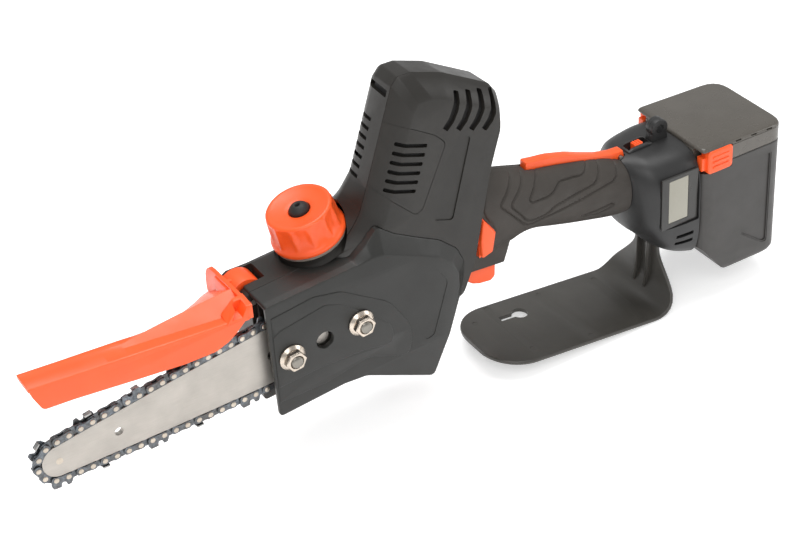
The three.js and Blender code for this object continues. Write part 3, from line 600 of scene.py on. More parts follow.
def bar_guard():
    stations = [
        (-536.2, (-17.5, 0.1), (-13, 0.3), (-10, 0.6)),
        (-510, (-17.5, 0.1), (-13, 0.4), (-10, 0.8)),
        (-484, (-17.4, 0.1), (-13.5, 0.5), (-10, 1.2)),
        (-470, (-17.5, 0), (-14.5, 1.4), (-10.4, 1.7)),
        (-460, (-17.8, 0), (-13.4, 2.7), (-10.5, 1.7)),
        (-450, (-18, 0), (-12, 3.8), (-9.5, 1.4)),
        (-437, (-18.4, 0), (-10.3, 5), (-5, -0.8)),
        (-421, (-18.9, 0), (-8, 6.2), (4, -4.2)),
        (-408, (-19.3, 0), (-6.2, 7), (16, -9)),
        (-397, (-19.5, 0), (-4.8, 7.6), (27, -13)),
        (-388.7, (-19.6, 0), (-3.7, 8), (33, -15)),
    ]
    thick = 2.3
    rings = []
    for x, crease, ridge, far in stations:
        top = near_ridge(x)
        upper = [(-27, top), (-26.4, top + 0.3)] + [(y, top + z) for y, z in (crease, ridge, far)]
        under = [(y, z - thick) for y, z in reversed(upper)]
        rings.append([(x, y, z) for y, z in upper + under])
    skin = loft(rings)
    wall_line = [
        (-536.2, 128.3), (-533.9, 120.5), (-529.1, 109.9), (-508.9, 108.7), (-468.5, 104.6), (-434.7, 101.5),
        (-413.8, 101.6), (-404, 105.3), (-398.7, 109.2), (-390.1, 117.1), (-388.8, 117.9),
    ]
    near = plate(wall_line, -27.3, -24.7, 0.5, [0.5, 6, 4, 60, 60, 30, 12, 14, 10, 3, 0.5])
    far_line = [(x, z + 0.6) for x, z in wall_line if x < -450] + [(-452, 103.4), (-450, 122.3)]
    far = plate(far_line, -12.2, -9.9, 0.5, 1)
    wing_line = fillet([
        (-27.3, 116), (-27.3, 126.6), (0, 125.9), (24, 124.8), (30, 123.2), (33.5, 117), (34.5, 110),
        (34.5, 102.6), (30, 103.2), (0, 113), (-12, 114),
    ], [1, 1, 20, 20, 8, 10, 10, 1, 2, 5, 5])
    wing = loft([[(x, y + (y + 10) * 0.01 * k, z) for y, z in wing_line]
                 for x, k in ((-388.8, 0), (-388, 0.2), (-386.8, 0.6), (-386, 1))])
    boss = loft([
        [(-404.6, -27.9, 118.4), (-389.6, -27.9, 117.8), (-386.1, -27.9, 126.4), (-396, -26, 126.2)],
        [(-403.6, -17.5, 120.6), (-388.8, -15, 117), (-386.1, -14.6, 127.6), (-394, -16, 127.6)],
    ])
    guard = fuse(skin, near, far, wing, boss)
    cut(guard, loft([
        [(-401, -33, 119.6), (-393.8, -33, 119.2), (-390.2, -33, 126.4), (-395.2, -33, 128.4)],
        [(-400.4, -19, 120.4), (-393.2, -19, 120.2), (-389.4, -19, 126.8), (-393.4, -19, 129)],
    ]))
    knuckle = plate(arc(*HINGE, 12.4, 150, 22, 16) + arc(*HINGE, 7.4, 20, 148, 16), 0.6, 17.4, 0.5)
    web_line = [(-388, 106), (-388, 123.5), (-380, 122.6), (-371.5, 117), (-371, 108), (-380, 103.5)]
    web = plate(fillet(web_line, 2.5), 7.4, 10.4, 0.4)
    rim_line = [(-390, 104.5), (-390, 124), (-384.5, 122), (-384.5, 104.5)]
    fuse(guard, knuckle, web, plate(fillet(rim_line, 1), 0.6, 17.4, 0.3))
    cut(guard, bore(*HINGE, 2.85, -2, 20))
    soften(guard, 0.55, 3, 28)
    return settle(guard, "bar_guard_shell", "bar_guard", "orange_plastic", angle=34)


# -------- bar and chain

NOSE_X, NOSE_R, TAIL_X = -265.5, 11.5, -34
BEND_X = -116
STUDS = (-105.3, -53.3)
STUD_R = 4.35
TENSIONER_X = -80.3


def rail_height(x):
    """Half the bar's height, as two parabolas that meet at BEND_X."""
    s, t = x - NOSE_X, x - BEND_X
    return NOSE_R + 0.085 * s - 0.00012 * s * s if x < BEND_X else 21.54 + 0.049 * t - 0.00118 * t * t


def rail(offset, around_sprocket, steps=40):
    """The bar's outline at an offset, closed at its tail or carried round the drive sprocket."""
    xs = [NOSE_X + 2 + (TAIL_X - NOSE_X - 2) * i / steps for i in range(steps + 1)]
    top = [(x, rail_height(x) + offset) for x in xs]
    bottom = [(x, -z) for x, z in reversed(top)]
    nose = arc(NOSE_X, 0, NOSE_R + offset, 265, 95, 28)
    tail = arc(0, 0, 12.9 + offset, 84, -84, 24) if around_sprocket else [(TAIL_X + 8, 11), (TAIL_X + 8, -11)]
    return top + tail + bottom + nose


def stud_line(r, reach=0):
    """A slot's outline along the bar, round both studs."""
    return arc(STUDS[0] - reach, 0, r, 90, 270, 14) + arc(STUDS[1] + reach, 0, r, -90, 90, 14)


def guide_bar():
    side_hole, nose_hole = (TENSIONER_X, -13, 2), (NOSE_X, 0, 11)
    layers = []
    for offset, y0, y1, edge, hole in (
            (0, -2, -0.8, 0.18, side_hole), (0, 0.8, 2, 0.18, side_hole), (-5.2, -0.8, 0.8, 0, nose_hole)):
        layer = plate(rail(offset, False), y0, y1, edge)
        cut(layer, plate(stud_line(STUD_R, 8), -5, 5), bore(-224.5, 0, 3, -5, 5), bore(*hole, -5, 5))
        layers.append(lean(layer, HEAD))
    settle(grouped(layers), "guide_bar_plates", "guide_bar", "bar_steel")
    rivet = turned([(2.2, -2.12), (2.4, -2.04), (2.4, 2.04), (2.2, 2.12)], 24)
    rivet = lean(lean(rivet, along_y(NOSE_X, 0)), HEAD)
    extra(rivet, "guide_bar_nose_rivets", "guide_bar", "bar_steel", "rivet")


LINKS = 76


def chain_places():
    """Rivet places round the chain's path, in X and Z of the head's frame."""
    line = [Vector(p) for p in rail(2.9, True, 60)]
    lengths = [(line[(i + 1) % len(line)] - p).length for i, p in enumerate(line)]
    total = sum(lengths)
    places = []
    for k in range(LINKS):
        along, i = total * k / LINKS, 0
        while along > lengths[i]:
            along -= lengths[i]
            i += 1
        places.append(line[i].lerp(line[(i + 1) % len(line)], along / lengths[i]))
    return places


def saw_chain():
    """Side links and cutters on even places, drive links on odd ones, and a rivet at each."""
    places = chain_places()
    pitch = (places[1] - places[0]).length
    strap = fillet([
        (-2.9, -2.5), (0, -2.9), (pitch / 2, -2.2), (pitch, -2.9), (pitch + 2.9, -2.5), (pitch + 2.9, 2.5),
        (pitch, 2.9), (pitch / 2, 2.2), (0, 2.9), (-2.9, 2.5),
    ], [2.4, 3, 3, 3, 2.4, 2.4, 3, 3, 3, 2.4], 3)
    driver = fillet([
        (-2.7, -2.4), (1.2, -3.1), (3.2, -7.6), (5.4, -7.2), (7.4, -3), (pitch + 2.7, -2.4),
        (pitch + 2.6, 2.6), (pitch / 2, 3.4), (-2.6, 2.6),
    ], [1.8, 1, 1, 1, 1, 1.8, 1.8, 6, 1.8], 3)
    cutter = fillet([
        (pitch + 2.9, -2.6), (pitch / 2, -2.3), (-2.9, -2.6), (-3.1, 2), (-1.6, 5.6), (1, 6), (2, 3),
        (pitch - 4, 2.6), (pitch - 3.4, 4), (pitch - 3.2, 6.2), (pitch + 1.8, 6.4), (pitch + 3.2, 4),
    ], [2.2, 4, 2.2, 2, 0.8, 0.8, 1.6, 1.4, 1, 0.4, 0.4, 2], 3)
    top = fillet([(pitch + 1.7, 5.3), (pitch - 3.1, 5.1), (pitch - 3.1, 6.2), (pitch + 1.7, 6.4)], 0.2, 2)
    plates, cutters, heads = [], [], []
    for k, a in enumerate(places):
        along = places[(k + 1) % LINKS] - a
        turn = Matrix.Translation((a.x, 0, a.y)) @ Matrix.Rotation(-atan2(along.y, along.x), 4, "Y")
        parts = [(plates, driver, (-0.68, 0.68), 0.14)]
        if k % 2 == 0:
            tooth = 0 if k % 4 == 0 else 1 if k % 8 == 2 else -1
            parts = []
            for s in (-1, 1):
                toothed = s == tooth
                line, edge = (cutter, 0.14) if toothed else (strap, 0.16)
                parts.append((plates, line, sided(s, 1.02, 2.3), edge))
                if toothed:
                    parts.append((cutters, top, sided(s, 2.2, -1.4), 0.12))
        for kind, line, (y0, y1), edge in parts:
            kind.append(lean(plate(line, y0, y1, edge, steps=1), HEAD @ turn))
        head = turned([(1.2, -2.82), (1.75, -2.6), (1.9, -2.3), (1.9, 2.3), (1.75, 2.6), (1.2, 2.82)], 14)
        heads.append(lean(head, HEAD @ along_y(a.x, a.y)))
    settle(grouped(plates), "chain_links", "saw_chain", "chain_steel")
    extra(grouped(cutters), "chain_cutters", "saw_chain", "chain_steel", "cutter")
    extra(grouped(heads), "chain_rivets", "saw_chain", "chain_steel", "rivet")


def nuts_and_studs():
    for name, x in zip(("front", "rear"), STUDS):
        nut = turned([(4.4, 0), (9.1, 0), (9.4, 0.4), (9.3, 1.1), (8.2, 2), (7.4, 2.8), (4.4, 2.8)], 48)
        fuse(nut, loft([[(px, py, z) for i in range(6) for px, py in arc(0, 0, r, 60 * i - 3, 60 * i + 3, 1)]
                        for r, z in ((7.4, 1), (7.4, 6), (6.9, 6.8), (6.3, 7.1))]))
        cut(nut, turned([(4.1, -1), (4.1, 5.8), (5, 7.2)], 32))
        soften(nut, 0.18, 2, 35)
        lean(nut, HEAD @ along_y(x, 0, -12.35))
        settle(nut, "bar_nut_" + name + "_flanged", "bar_nut_" + name, "nickel", angle=28)
        threads = [(3.95 - 0.35 * (i % 2), -0.45 * i - 0.4) for i in range(26)]
        shank = [(3.6, -12.6), (3.95, -12.9), (3.95, -36.5), (3.4, -37.2)]
        profile = [(2.6, 0.3), (3.2, 0)] + threads + shank
        stud = lean(turned(profile[::-1], 28), HEAD @ along_y(x, 0, -20.4))
        settle(stud, "bar_stud_" + name + "_threaded", "bar_stud_" + name, "bar_steel", "screw")


# -------- oil cap

SCALLOPS = 12


def oil_cap():
    def ripple(angle, r, z):
        """Twelve flats round the skirt, which fade out towards the rim above and the flange below."""
        if r < 19 or z < 12:
            return 0
        wave = 0.5 + 0.5 * cos(SCALLOPS * angle)
        return -1.9 * (1 - (1 - wave) ** 3) * min(1, (z - 12) / 3 + 0.2) * min(1, max(0, (29 - z) / 5))

    cap = [
        (7.4, 23.3), (7.4, 26.6), (7.6, 27.3), (8.2, 27.7), (11, 28), (16, 28.8), (18.6, 29.6), (19.6, 30),
        (20.6, 30.1), (21.5, 29.8), (22.2, 29), (22.6, 27.8), (22.9, 25), (23.2, 21), (23.4, 17), (23.6, 13),
        (23.8, 11.6), (24.4, 10.9), (25, 10.2), (25.35, 9.2), (25.35, 7.6), (25, 6.9), (24, 6.6), (18.4, 6.6),
        (18.2, 7), (18, 20),
    ]
    bulb = [
        (6.9, 26.7), (6.9, 27.6), (6.7, 28.4), (6.1, 29.4), (4.9, 30.6), (3.4, 31.6), (2.6, 31.9),
        (2.2, 31.9), (1.5, 31.3), (1.2, 29.6),
    ]
    seal = [(18.6, 4), (23.9, 4), (24.3, 4.5), (24.3, 5.9), (23.8, 6.4), (18.6, 6.4)]
    collar = [(18.5, -2.3), (24.6, -2.3), (23.6, -0.6), (23.2, 0.6), (23.2, 3.8), (18.5, 3.8)]
    cap, bulb, seal, collar = (lean(turned(*shape), CAP) for shape in (
        (cap, 144, ripple), (bulb, 48), (seal, 64), (collar, 64)))
    settle(cap, "oil_cap_scalloped", "oil_cap", "orange_plastic", angle=38)
    settle(bulb, "oil_primer_bulb_domed", "oil_primer_bulb", "black_rubber", angle=50)
    settle(seal, "oil_cap_gasket_ring", "oil_cap_gasket", "clear_seal", angle=40)
    extra(collar, "filler_collar", "main_housing", "black_plastic", "housing")


# -------- housings

GAP = 0.35
SEAM_Y, FAR_Y, PARTING_Y = -9, 28, -12
FAR_SCREWS = [(-368, 50, FAR_Y), (-292, 48, FAR_Y), (*tower_point(22, 74), 24), (*tower_point(22, 118), 24)]


def lower_body(levels):
    return loft([[(x, y, z) for x, z in drawn(LOWER, pull, LOWER_CORNERS, 4)] for y, pull in levels])


def main_housing():
    x, z = HINGE
    housing = lower_body([(SEAM_Y + GAP, 0.3), (SEAM_Y + GAP + 0.3, 0), (14.5, 0), (19, 0.7), (23, 2.4),
                          (25.6, 4.4), (27, 6.4), (27.6, 7.8)])
    inner = lower_body([(-12.4, 3.6), (SEAM_Y + 2, 3.6)])
    ear = fillet(arc(x, z, 8.5, 110, 250, 7) + [(x + 14, z - 10), (x + 14, z + 8)], [1, *[3] * 6, 1, 1, 1])
    near_ear = plate(ear, SEAM_Y + GAP, -0.5, 0.4)
    far_ear = plate(ear, 18.5, 24, 0.6)
    tower = cut(only(tower_solid(), block(-420, -150, PARTING_Y + GAP, 40, 0, 300)),
                lower_body([(-60, -GAP), (SEAM_Y + GAP, -GAP)]))
    seat = only(lean(turned([(21.2, -14), (22, -13), (22, -2.7), (21.7, -2.4)], 64), CAP),
                block(-420, -250, SEAM_Y + GAP, 60, 90, 160))
    cut(fuse(housing, inner, near_ear, far_ear, tower, seat), cap_room())
    neck = lean(turned([(14.6, -6), (14.6, 8.6), (14.2, 9)], 48), CAP)
    fuse(housing, neck, lean(plate(stud_line(12), 2.4, 8), HEAD))
    cut(housing, only(tower_solid(WALL), above(31)), lean(turned([(9, 5), (9, 40)], 40), TOWER),
        bore(*SPROCKET, 23, -2.5, 15, 64), bore(*SPROCKET, 11.4, -8, -2), bore(*SPROCKET, 11.4, 14, 20.6),
        bore(*SPROCKET, 5.4, -14, -7), lean(turned([(11.5, -30), (11.5, 20)], 40), CAP),
        block(-400, x + 13, -0.5, 18.5, z - 14, 140, 0.8), bore(x, z, 2.8, SEAM_Y - 2, FAR_Y - 4),
        *[bore(stud, 0, STUD_R, -10, 17.4, 24, HEAD) for stud in STUDS],
        bore(TENSIONER_X, 0, 3.6, -10, 12, 24, HEAD))
    for x, z, y in FAR_SCREWS:
        cut(housing, bore(x, z, 3.6, y - 3, y + 4), bore(x, z, 1.9, y - 14, y - 2.5))
    upright, level, front = (rectangle(-1.2, 1.2, -12, 12, 1.1), rectangle(-14, 14, -1.2, 1.2, 1.1),
                             rectangle(-5, 9, -1.3, 1.3, 1))
    cut(housing, *[tower_slot(40 + i * 8, 118 - i * 1.5, upright, 16, 34) for i in range(4)],
        *[tower_slot(36 + 2 * (i % 2), 92 - i * 6.4, level, 16, 34) for i in range(7)],
        *[tower_slot(0, 104 - i * 6.6, front, 1, 20) for i in range(7)],
        tower_slot(0, 126, fillet([(-5, -2.6), (9, -2.6), (9, 1.4), (-5, 2.6)], 1), -9, 15))
    settle(housing, "main_housing_shell", "main_housing", "black_plastic", "housing", angle=44)


def vent_shade_sheet():
    """A dark sheet just inside the motor housing's walls, behind the slots: painted shade for the hollow seen
    through them.
    """
    shade_sheet = only(cut(tower_solid(2.75), tower_solid(3.25)), above(56))
    # The sheet is painted shade for the dark inside of the housing, not a part of the saw.
    extra(shade_sheet, "vent_shade_sheet", "main_housing", "black_plastic", "cavity_shade")


def near_tower():
    wall = only(cut(tower_solid(), tower_solid(WALL)), block(-420, -150, -60, PARTING_Y, 0, 300))
    return cut(wall, lower_body([(-60, -GAP), (0, -GAP)]), cap_room())


def vent_line(margin):
    """The vent grille's outline on the tower, widened by a margin."""
    corners = [(-20, 108.6 + margin), (14, 108.6 + margin), (34, 104 + margin), (44 + margin, 98.6 + margin),
               (39 + margin, 52 - margin), (35, 48 - margin), (0, 65 - margin), (-20, 75 - margin)]
    return fillet([tower_point(*corner) for corner in corners], [1, 30, 20, 5, 4, 4, 20, 1])


def tower_side_cover():
    bent = fillet([
        (-2, 13.6), (2.2, 12.8), (3.5, 1), (2.4, -6.6), (-1, -13.4), (-5.2, -11.4), (-2.4, -4.4), (-1.7, 2),
    ], [1, 1, 6, 6, 0.6, 0.6, 6, 6])
    badge = fillet([tower_point(u, w) for u, w in ((51, 43), (66, 43), (62.5, 103), (53, 103))], 2.5)
    cover = cut(near_tower(), plate(vent_line(0), -60, 0),
                *[tower_slot(44 + i * 10.3, 120, bent, -34, -13) for i in range(4)],
                plate(badge, -30, -23.3))
    settle(cover, "tower_side_cover_shell", "tower_side_cover", "black_plastic", "housing", angle=44)


def vent_grille():
    slot = rectangle(-11.5, 11.5, -1.35, 1.35, 1.2)
    grille = cut(only(near_tower(), plate(vent_line(GAP), -60, 0)),
                 *[tower_slot(18.5, 97 - i * 6.4, slot, -39, -9) for i in range(6)])
    settle(grille, "vent_grille_slotted", "vent_grille", "black_plastic", "housing", angle=44)


def sprocket_cover():
    near_y = -30.3
    face = fillet(COVER_FACE, LOWER_CORNERS, 4)
    outline = fillet(LOWER, LOWER_CORNERS, 4)

    def ring(share, y):
        """A level between the flat face's outline (0) and the full outline (1)."""
        return [(a[0] * (1 - share) + b[0] * share, y, a[1] * (1 - share) + b[1] * share)
                for a, b in zip(face, outline)]

    def inner_ring(points, y):
        """The outline drawn in by the wall, but open towards the bar."""
        ends = (0, len(points) - 1)
        line = [(x - 8 if i in ends else x, z) for i, (x, z) in enumerate(inset(points, WALL))]
        return [(x, y, z) for x, z in fillet(line, LOWER_CORNERS, 4)]

    front = [(x, near_y, z) for x, z in drawn(COVER_FACE, 1.1, LOWER_CORNERS, 4)]
    levels = ((0, -29.9), (0.06, -29.4), (0.9, -25.2), (1, -24.4), (1, SEAM_Y))
    cover = loft([front] + [ring(*level) for level in levels])
    cut(cover, loft([inner_ring(COVER_FACE, near_y + WALL), inner_ring(LOWER, -24.6),
                     inner_ring(LOWER, SEAM_Y + 1)]))
    upper_step = [
        (-376, 97.6), (-372, 101), (-337.5, 107.2), (-325, 102.5), (-289.6, 71), (-288.5, 54.2), (-310.8, 59),
        (-344, 59.5), (-376, 57),
    ]
    lower_step = [
        (-376, 45.2), (-340, 45.6), (-309, 52.2), (-289.5, 44), (-278, 40.6), (-275, 52.4), (-276, 66),
        (-290, 89), (-325, 112), (-345, 116), (-376, 112),
    ]
    fuse(cover, plate(lower_step, -30.85, -29.7, 0.54, [0.5, 14, 16, 14, 6, 10, 30, 30, 16, 14, 0.5], 0),
         plate(upper_step, -31.3, -29.6, 0.95, [0.5, 6, 10, 14, 12, 6, 20, 20, 0.5], 0),
         *[bore(x, 0, 9.5, -11.2, -2.35, 40, HEAD) for x in STUDS])
    label = [
        (-287, 113.5), (-252, 98.5), (-244.6, 86.5), (-257.5, 47.5), (-264, 45.5), (-268.5, 54),
        (-272.5, 77.5), (-282.5, 95.5), (-287, 106),
    ]
    funnel = turned([(6.2, 8), (6.2, 11.9), (6.9, 12.6), (7, 20)], 40)
    cut(cover, cap_room(), block(-390, -330, near_y + WALL, 0, 20, 45),
        plate(label, -33, -30, 0, [3, 8, 8, 4, 4, 4, 6, 6, 3]),
        *[bore(x, 0, STUD_R, -20, 0, 32, HEAD) for x in STUDS],
        lean(funnel, HEAD @ along_y(TENSIONER_X, 0)))
    settle(cover, "sprocket_cover_shell", "sprocket_cover", "cover_plastic", angle=40)


# -------- handle

# Stations along the handle: X, its middle height, half height and half width.
GRIP = [
    (-226, 108, 34, 17), (-205, 106, 33.5, 17.5), (-190, 106.5, 30.5, 17.2), (-180, 106, 28.3, 17),
    (-170, 105.8, 25.4, 16.8), (-160, 104.2, 24, 16.5), (-145, 100.8, 24.6, 16.5), (-131, 97.4, 25, 16.5),
    (-112, 92.8, 25, 16.5), (-97, 89, 24.3, 17.2), (-90, 87.3, 23, 18.2), (-84.4, 86.3, 21.4, 19.3),
]
GRIP_POWER = 2.3
TRIGGER = [
    (-217, 83), (-200, 83), (-191.4, 67), (-192, 54.5), (-195.6, 51.8), (-205, 53), (-211, 55.4),
    (-216, 59.6), (-219, 64.5), (-220.5, 71),
]
TRIGGER_PIN, TRIGGER_TURN = (-213, 79), 8
LEVER = [
    (-162.5, 133.8), (-154.7, 132.4), (-142.9, 130.8), (-126.3, 126.2), (-114.2, 121.2), (-102, 116.6),
    (-90, 113.7), (-80.5, 113.2), (-79, 106), (-86, 104), (-104, 108.5), (-126, 114), (-150, 120),
    (-163, 123.5),
]
LEVER_PIN, LEVER_TURN = (-83, 108.5), 5
PIN_R = 1.9
LOCK = [(-210.5, 117.5), (-200, 103), (-203, 88), (-212.5, 85), (-213, 100)]
GROOVES = {
    "outer": [
        (-177, 133), (-178, 132), (-180, 130), (-185, 125), (-191, 119), (-192.3, 116.5), (-190, 114),
        (-182, 105), (-173.5, 95), (-170, 92.4), (-166, 91.6), (-147, 94), (-123, 97), (-98, 100.6),
        (-94.6, 102.4), (-92.5, 106), (-90, 112),
    ],
    "inner": [
        (-167, 132), (-168.5, 130.5), (-171, 127), (-176, 122), (-182.3, 116.5), (-183.6, 114),
        (-182.4, 111.6), (-177, 105), (-171.4, 97.4), (-168, 95.2), (-164, 94.8), (-156, 95.4),
        (-152.5, 96.6), (-149, 99), (-146, 100), (-128, 103), (-114, 104), (-111, 106), (-108, 110),
        (-103.5, 117),
    ],
    "loop": [
        (-154.5, 129), (-156, 127), (-161, 122), (-167.6, 114.6), (-168.6, 112), (-166.6, 110.2),
        (-164, 109.7), (-154, 109.4), (-151, 110), (-147, 112.3), (-143.6, 115), (-141, 116), (-130, 114.6),
        (-123, 113.4), (-119, 114), (-112, 119),
    ],
    "lens": [(-124, 81), (-113, 81), (-100, 83), (-97.6, 82), (-98.4, 80.4), (-110, 77.2), (-122, 79.6)],
    "collar": [
        (-197, 138), (-199.5, 134), (-202.4, 130), (-206, 118), (-204.6, 113), (-199, 104), (-197, 99),
    ],
}


def swing(points, pivot, degrees):
    c, s = cos(radians(degrees)), sin(radians(degrees))
    return [(pivot[0] + (x - pivot[0]) * c - (z - pivot[1]) * s,
             pivot[1] + (x - pivot[0]) * s + (z - pivot[1]) * c) for x, z in points]


def curve_through(stations, x):
    """Smooth (Catmull-Rom) values between a list of stations."""
    last = len(stations) - 1
    i = max(0, min(last - 1, next((k - 1 for k, station in enumerate(stations) if station[0] > x), last - 1)))
    around = [stations[max(0, min(last, i + k))] for k in (-1, 0, 1, 2)]
    q, *columns = zip(*around)
    span = q[2] - q[1]
    t = (x - q[1]) / span
    values = []
    for p in columns:
        m0 = (p[2] - p[0]) / max(q[2] - q[0], 1e-6) * span
        m1 = (p[3] - p[1]) / max(q[3] - q[1], 1e-6) * span
        values.append((2 * t ** 3 - 3 * t ** 2 + 1) * p[1] + (t ** 3 - 2 * t ** 2 + t) * m0
                      + (-2 * t ** 3 + 3 * t ** 2) * p[2] + (t ** 3 - t ** 2) * m1)
    return values


def section(x, middle, high, wide, power, count):
    """A rounded box across the handle: a circle at power 2, squarer as it grows."""
    def bulge(value):
        return copysign(abs(value) ** (2 / power), value)

    turns = [2 * pi * i / count for i in range(count)]
    return [(x, wide * bulge(cos(t)), middle + high * bulge(sin(t))) for t in turns]


def distance_to(points, line):
    """Shortest distance from each 2-D point to a polyline."""
    best = np.full(len(points), 1e9)
    for a, b in zip(line[:-1], line[1:]):
        a, b = np.array(a), np.array(b)
        along = b - a
        t = np.clip(((points - a) @ along) / (along @ along), 0, 1)
        best = np.minimum(best, np.linalg.norm(points - a - t[:, None] * along, axis=1))
    return best


def groove_line(points):
    return [points[0]] + fillet(points, 2.5, 4)[5:-5] + [points[-1]]


def vertex_values(mesh, kind):
    values = np.zeros(len(mesh.vertices) * 3)
    mesh.vertices.foreach_get(kind, values)
    return values.reshape(-1, 3)


def grip_solid(step=0.62, around=232):
    """The handle's skin, its vertices pushed in along the grooves."""
    long = 226 - 84.4
    count = int(long / step)
    shape = loft([section(x, *curve_through(GRIP, x), GRIP_POWER, around)
                  for x in (-226 + long * k / count for k in range(count + 1))])
    mesh = shape.data
    co = vertex_values(mesh, "co") / MM
    normals = vertex_values(mesh, "normal")
    depth = np.zeros(len(co))
    for name, line in GROOVES.items():
        near = distance_to(co[:, [0, 2]], np.array(groove_line(line)))
        wide, deep = (0.7, 0.8) if name == "collar" else (0.95, 1.25)
        depth = np.maximum(depth, deep * np.clip(1 - (near / wide) ** 2, 0, 1))
    steep = np.clip(np.abs(normals[:, 1]) * 1.6, 0, 1)
    co -= normals * (depth * steep)[:, None]
    mesh.vertices.foreach_set("co", (co * MM).ravel())
    mesh.update()
    return shape


def lever_room(turn):
    """What the safety lever sweeps at one turn of its press, with a gap round it."""
    return plate(inset(swing(LEVER, LEVER_PIN, turn), -0.6), -4.2, 4.2)


def grip():
    guard = [(-222, 66), (-216, 69), (-187.2, 66.6), (-184.4, 74), (-181, 84), (-181, 92), (-222, 92)]
    shape = fuse(grip_solid(), plate(guard, -12, 12, 2.2, [0.2, 2, 1.4, 8, 8, 1, 0.2]))
    rings = []
    for x in (-225, -205, -190, -180, -170, -160, -145, -131, -112, -97, -88):
        middle, high, wide = curve_through(GRIP, x)
        rings.append(section(x, middle, high - WALL, wide - WALL, GRIP_POWER, 48))
    cut(shape, loft(rings), tower_solid(-GAP), lower_body([(-40, -GAP - 0.1), (40, -GAP - 0.1)]),
        *[plate(inset(swing(TRIGGER, TRIGGER_PIN, turn), -0.8), -7.6, 7.6) for turn in (0, TRIGGER_TURN)],
        *[lever_room(turn) for turn in (0, LEVER_TURN / 2, LEVER_TURN)], plate(inset(LOCK, -0.4), -40, -9))
    settle_halves(shape, "grip_%s_grooved", "grip_shell_%s", "grip_rubber", angle=44)


def controls():
    trigger = plate(TRIGGER, -6.8, 6.8, 1.6, [1, 1, 5, 3, 2, 6, 6, 4, 4, 5])
    lever = plate(LEVER, -3.6, 3.6, 0.7, [1.2, 20, 30, 40, 40, 40, 30, 1, 1, 6, 20, 20, 20, 1])
    cut(trigger, bore(*TRIGGER_PIN, PIN_R, -8, 8, 24))
    cut(lever, bore(*LEVER_PIN, PIN_R, -8, 8, 24))
    button = fuse(plate(LOCK, -19.5, -13), plate(inset(LOCK, 0.4), -23, -19.5, 1.6, 1.6, 0))
    settle(trigger, "trigger_blade", "trigger", "orange_plastic")
    settle(lever, "safety_lever_bar", "safety_lever", "orange_plastic")
    settle(button, "lock_button_crowned", "lock_button", "orange_plastic")


# -------- bell and display

# Stations as in GRIP, each with how square its section is.
BELL = [
    (-84, 86.3, 21.4, 19.3, 2.3), (-80, 79.5, 29.5, 27.5, 2.4), (-74, 77, 33, 33, 2.8),
    (-67, 73, 37, 35.5, 3.2), (-58, 69.5, 40.7, 36.5, 3.6), (-48, 67, 43.2, 37, 4), (-37.5, 65, 45, 37, 4),
]
EYELET = (-48.5, 119)


def bell_loft(shrink=0.0, count=40, around=128):
    rings = []
    for k in range(count + 1):
        x = -84 + 46.5 * (k / count) ** 1.25
        middle, high, wide, power = curve_through(BELL, x)
        rings.append(section(x, middle, high - shrink, wide - shrink, power, around))
    return loft(rings)


def bell():
    shape = cut(bell_loft(), only(bell_loft(WALL, 24, 64), block(-80, -41, -60, 60, 0, 140)))
    eyelet = arc(*EYELET, 7, -30, 210, 30) + [(-57, 106), (-40.5, 106)]
    shroud = [(-77.5, 106.3), (-56, 106.3), (-56.5, 111.6), (-60, 112.6), (-73, 112.2), (-77, 110.6)]
    fuse(shape, plate(eyelet, -4, 4, 0.9), plate(shroud, -6, 6, 1.2, 1))
    cut(shape, bore(*EYELET, 3.3, -6, 6), plate(rectangle(-70.9, -38.1, 57, 99.9, 1.2), -42, -33.6),
        block(-75.5, -57.6, -3.6, 3.6, 98, 125), block(-45, -30, -8, 8, 35, 81),
        *[lever_room(turn) for turn in (0, LEVER_TURN)],
        bore(-66, 82, 1.9, -13, 40, 16), bore(-66, 82, 3.6, 28, 50),
        *[plate(rectangle(-56.7, -42.3, z - 1.6, z + 1.3, 0.7), -42, -31) for z in (47.4, 40.8)])
    settle_halves(shape, "bell_%s_moulded", "bell_shell_%s", "black_plastic", "bell", angle=30)


def display():
    bezel = plate(rectangle(-70.4, -38.6, 57.5, 99.4, 1), -35.6, -34, 0.35)
    cut(bezel, plate(rectangle(-64.4, -47.2, 61.6, 96.4, 0.8), -36, -35.05))
    settle(bezel, "display_bezel_plate", "display_lens", "display")
    glass = plate(rectangle(-64.2, -47.4, 61.8, 96.2, 0.8), -35.5, -34.9, 0.15)
    extra(glass, "display_window_glass", "display_lens", "display", "lcd")
    slider = fuse(block(-69.6, -62.4, -3, 3, 104, 112.6, 0.9), block(-73, -60, -5.5, 5.5, 101.5, 104.2),
                  *[block(x, x + 1, -2.4, 2.4, 112, 113.2, 0.3) for x in (-68.6, -66.5, -64.4)])
    settle(slider, "power_slider_ribbed", "power_slider", "orange_plastic")


# -------- hand guard

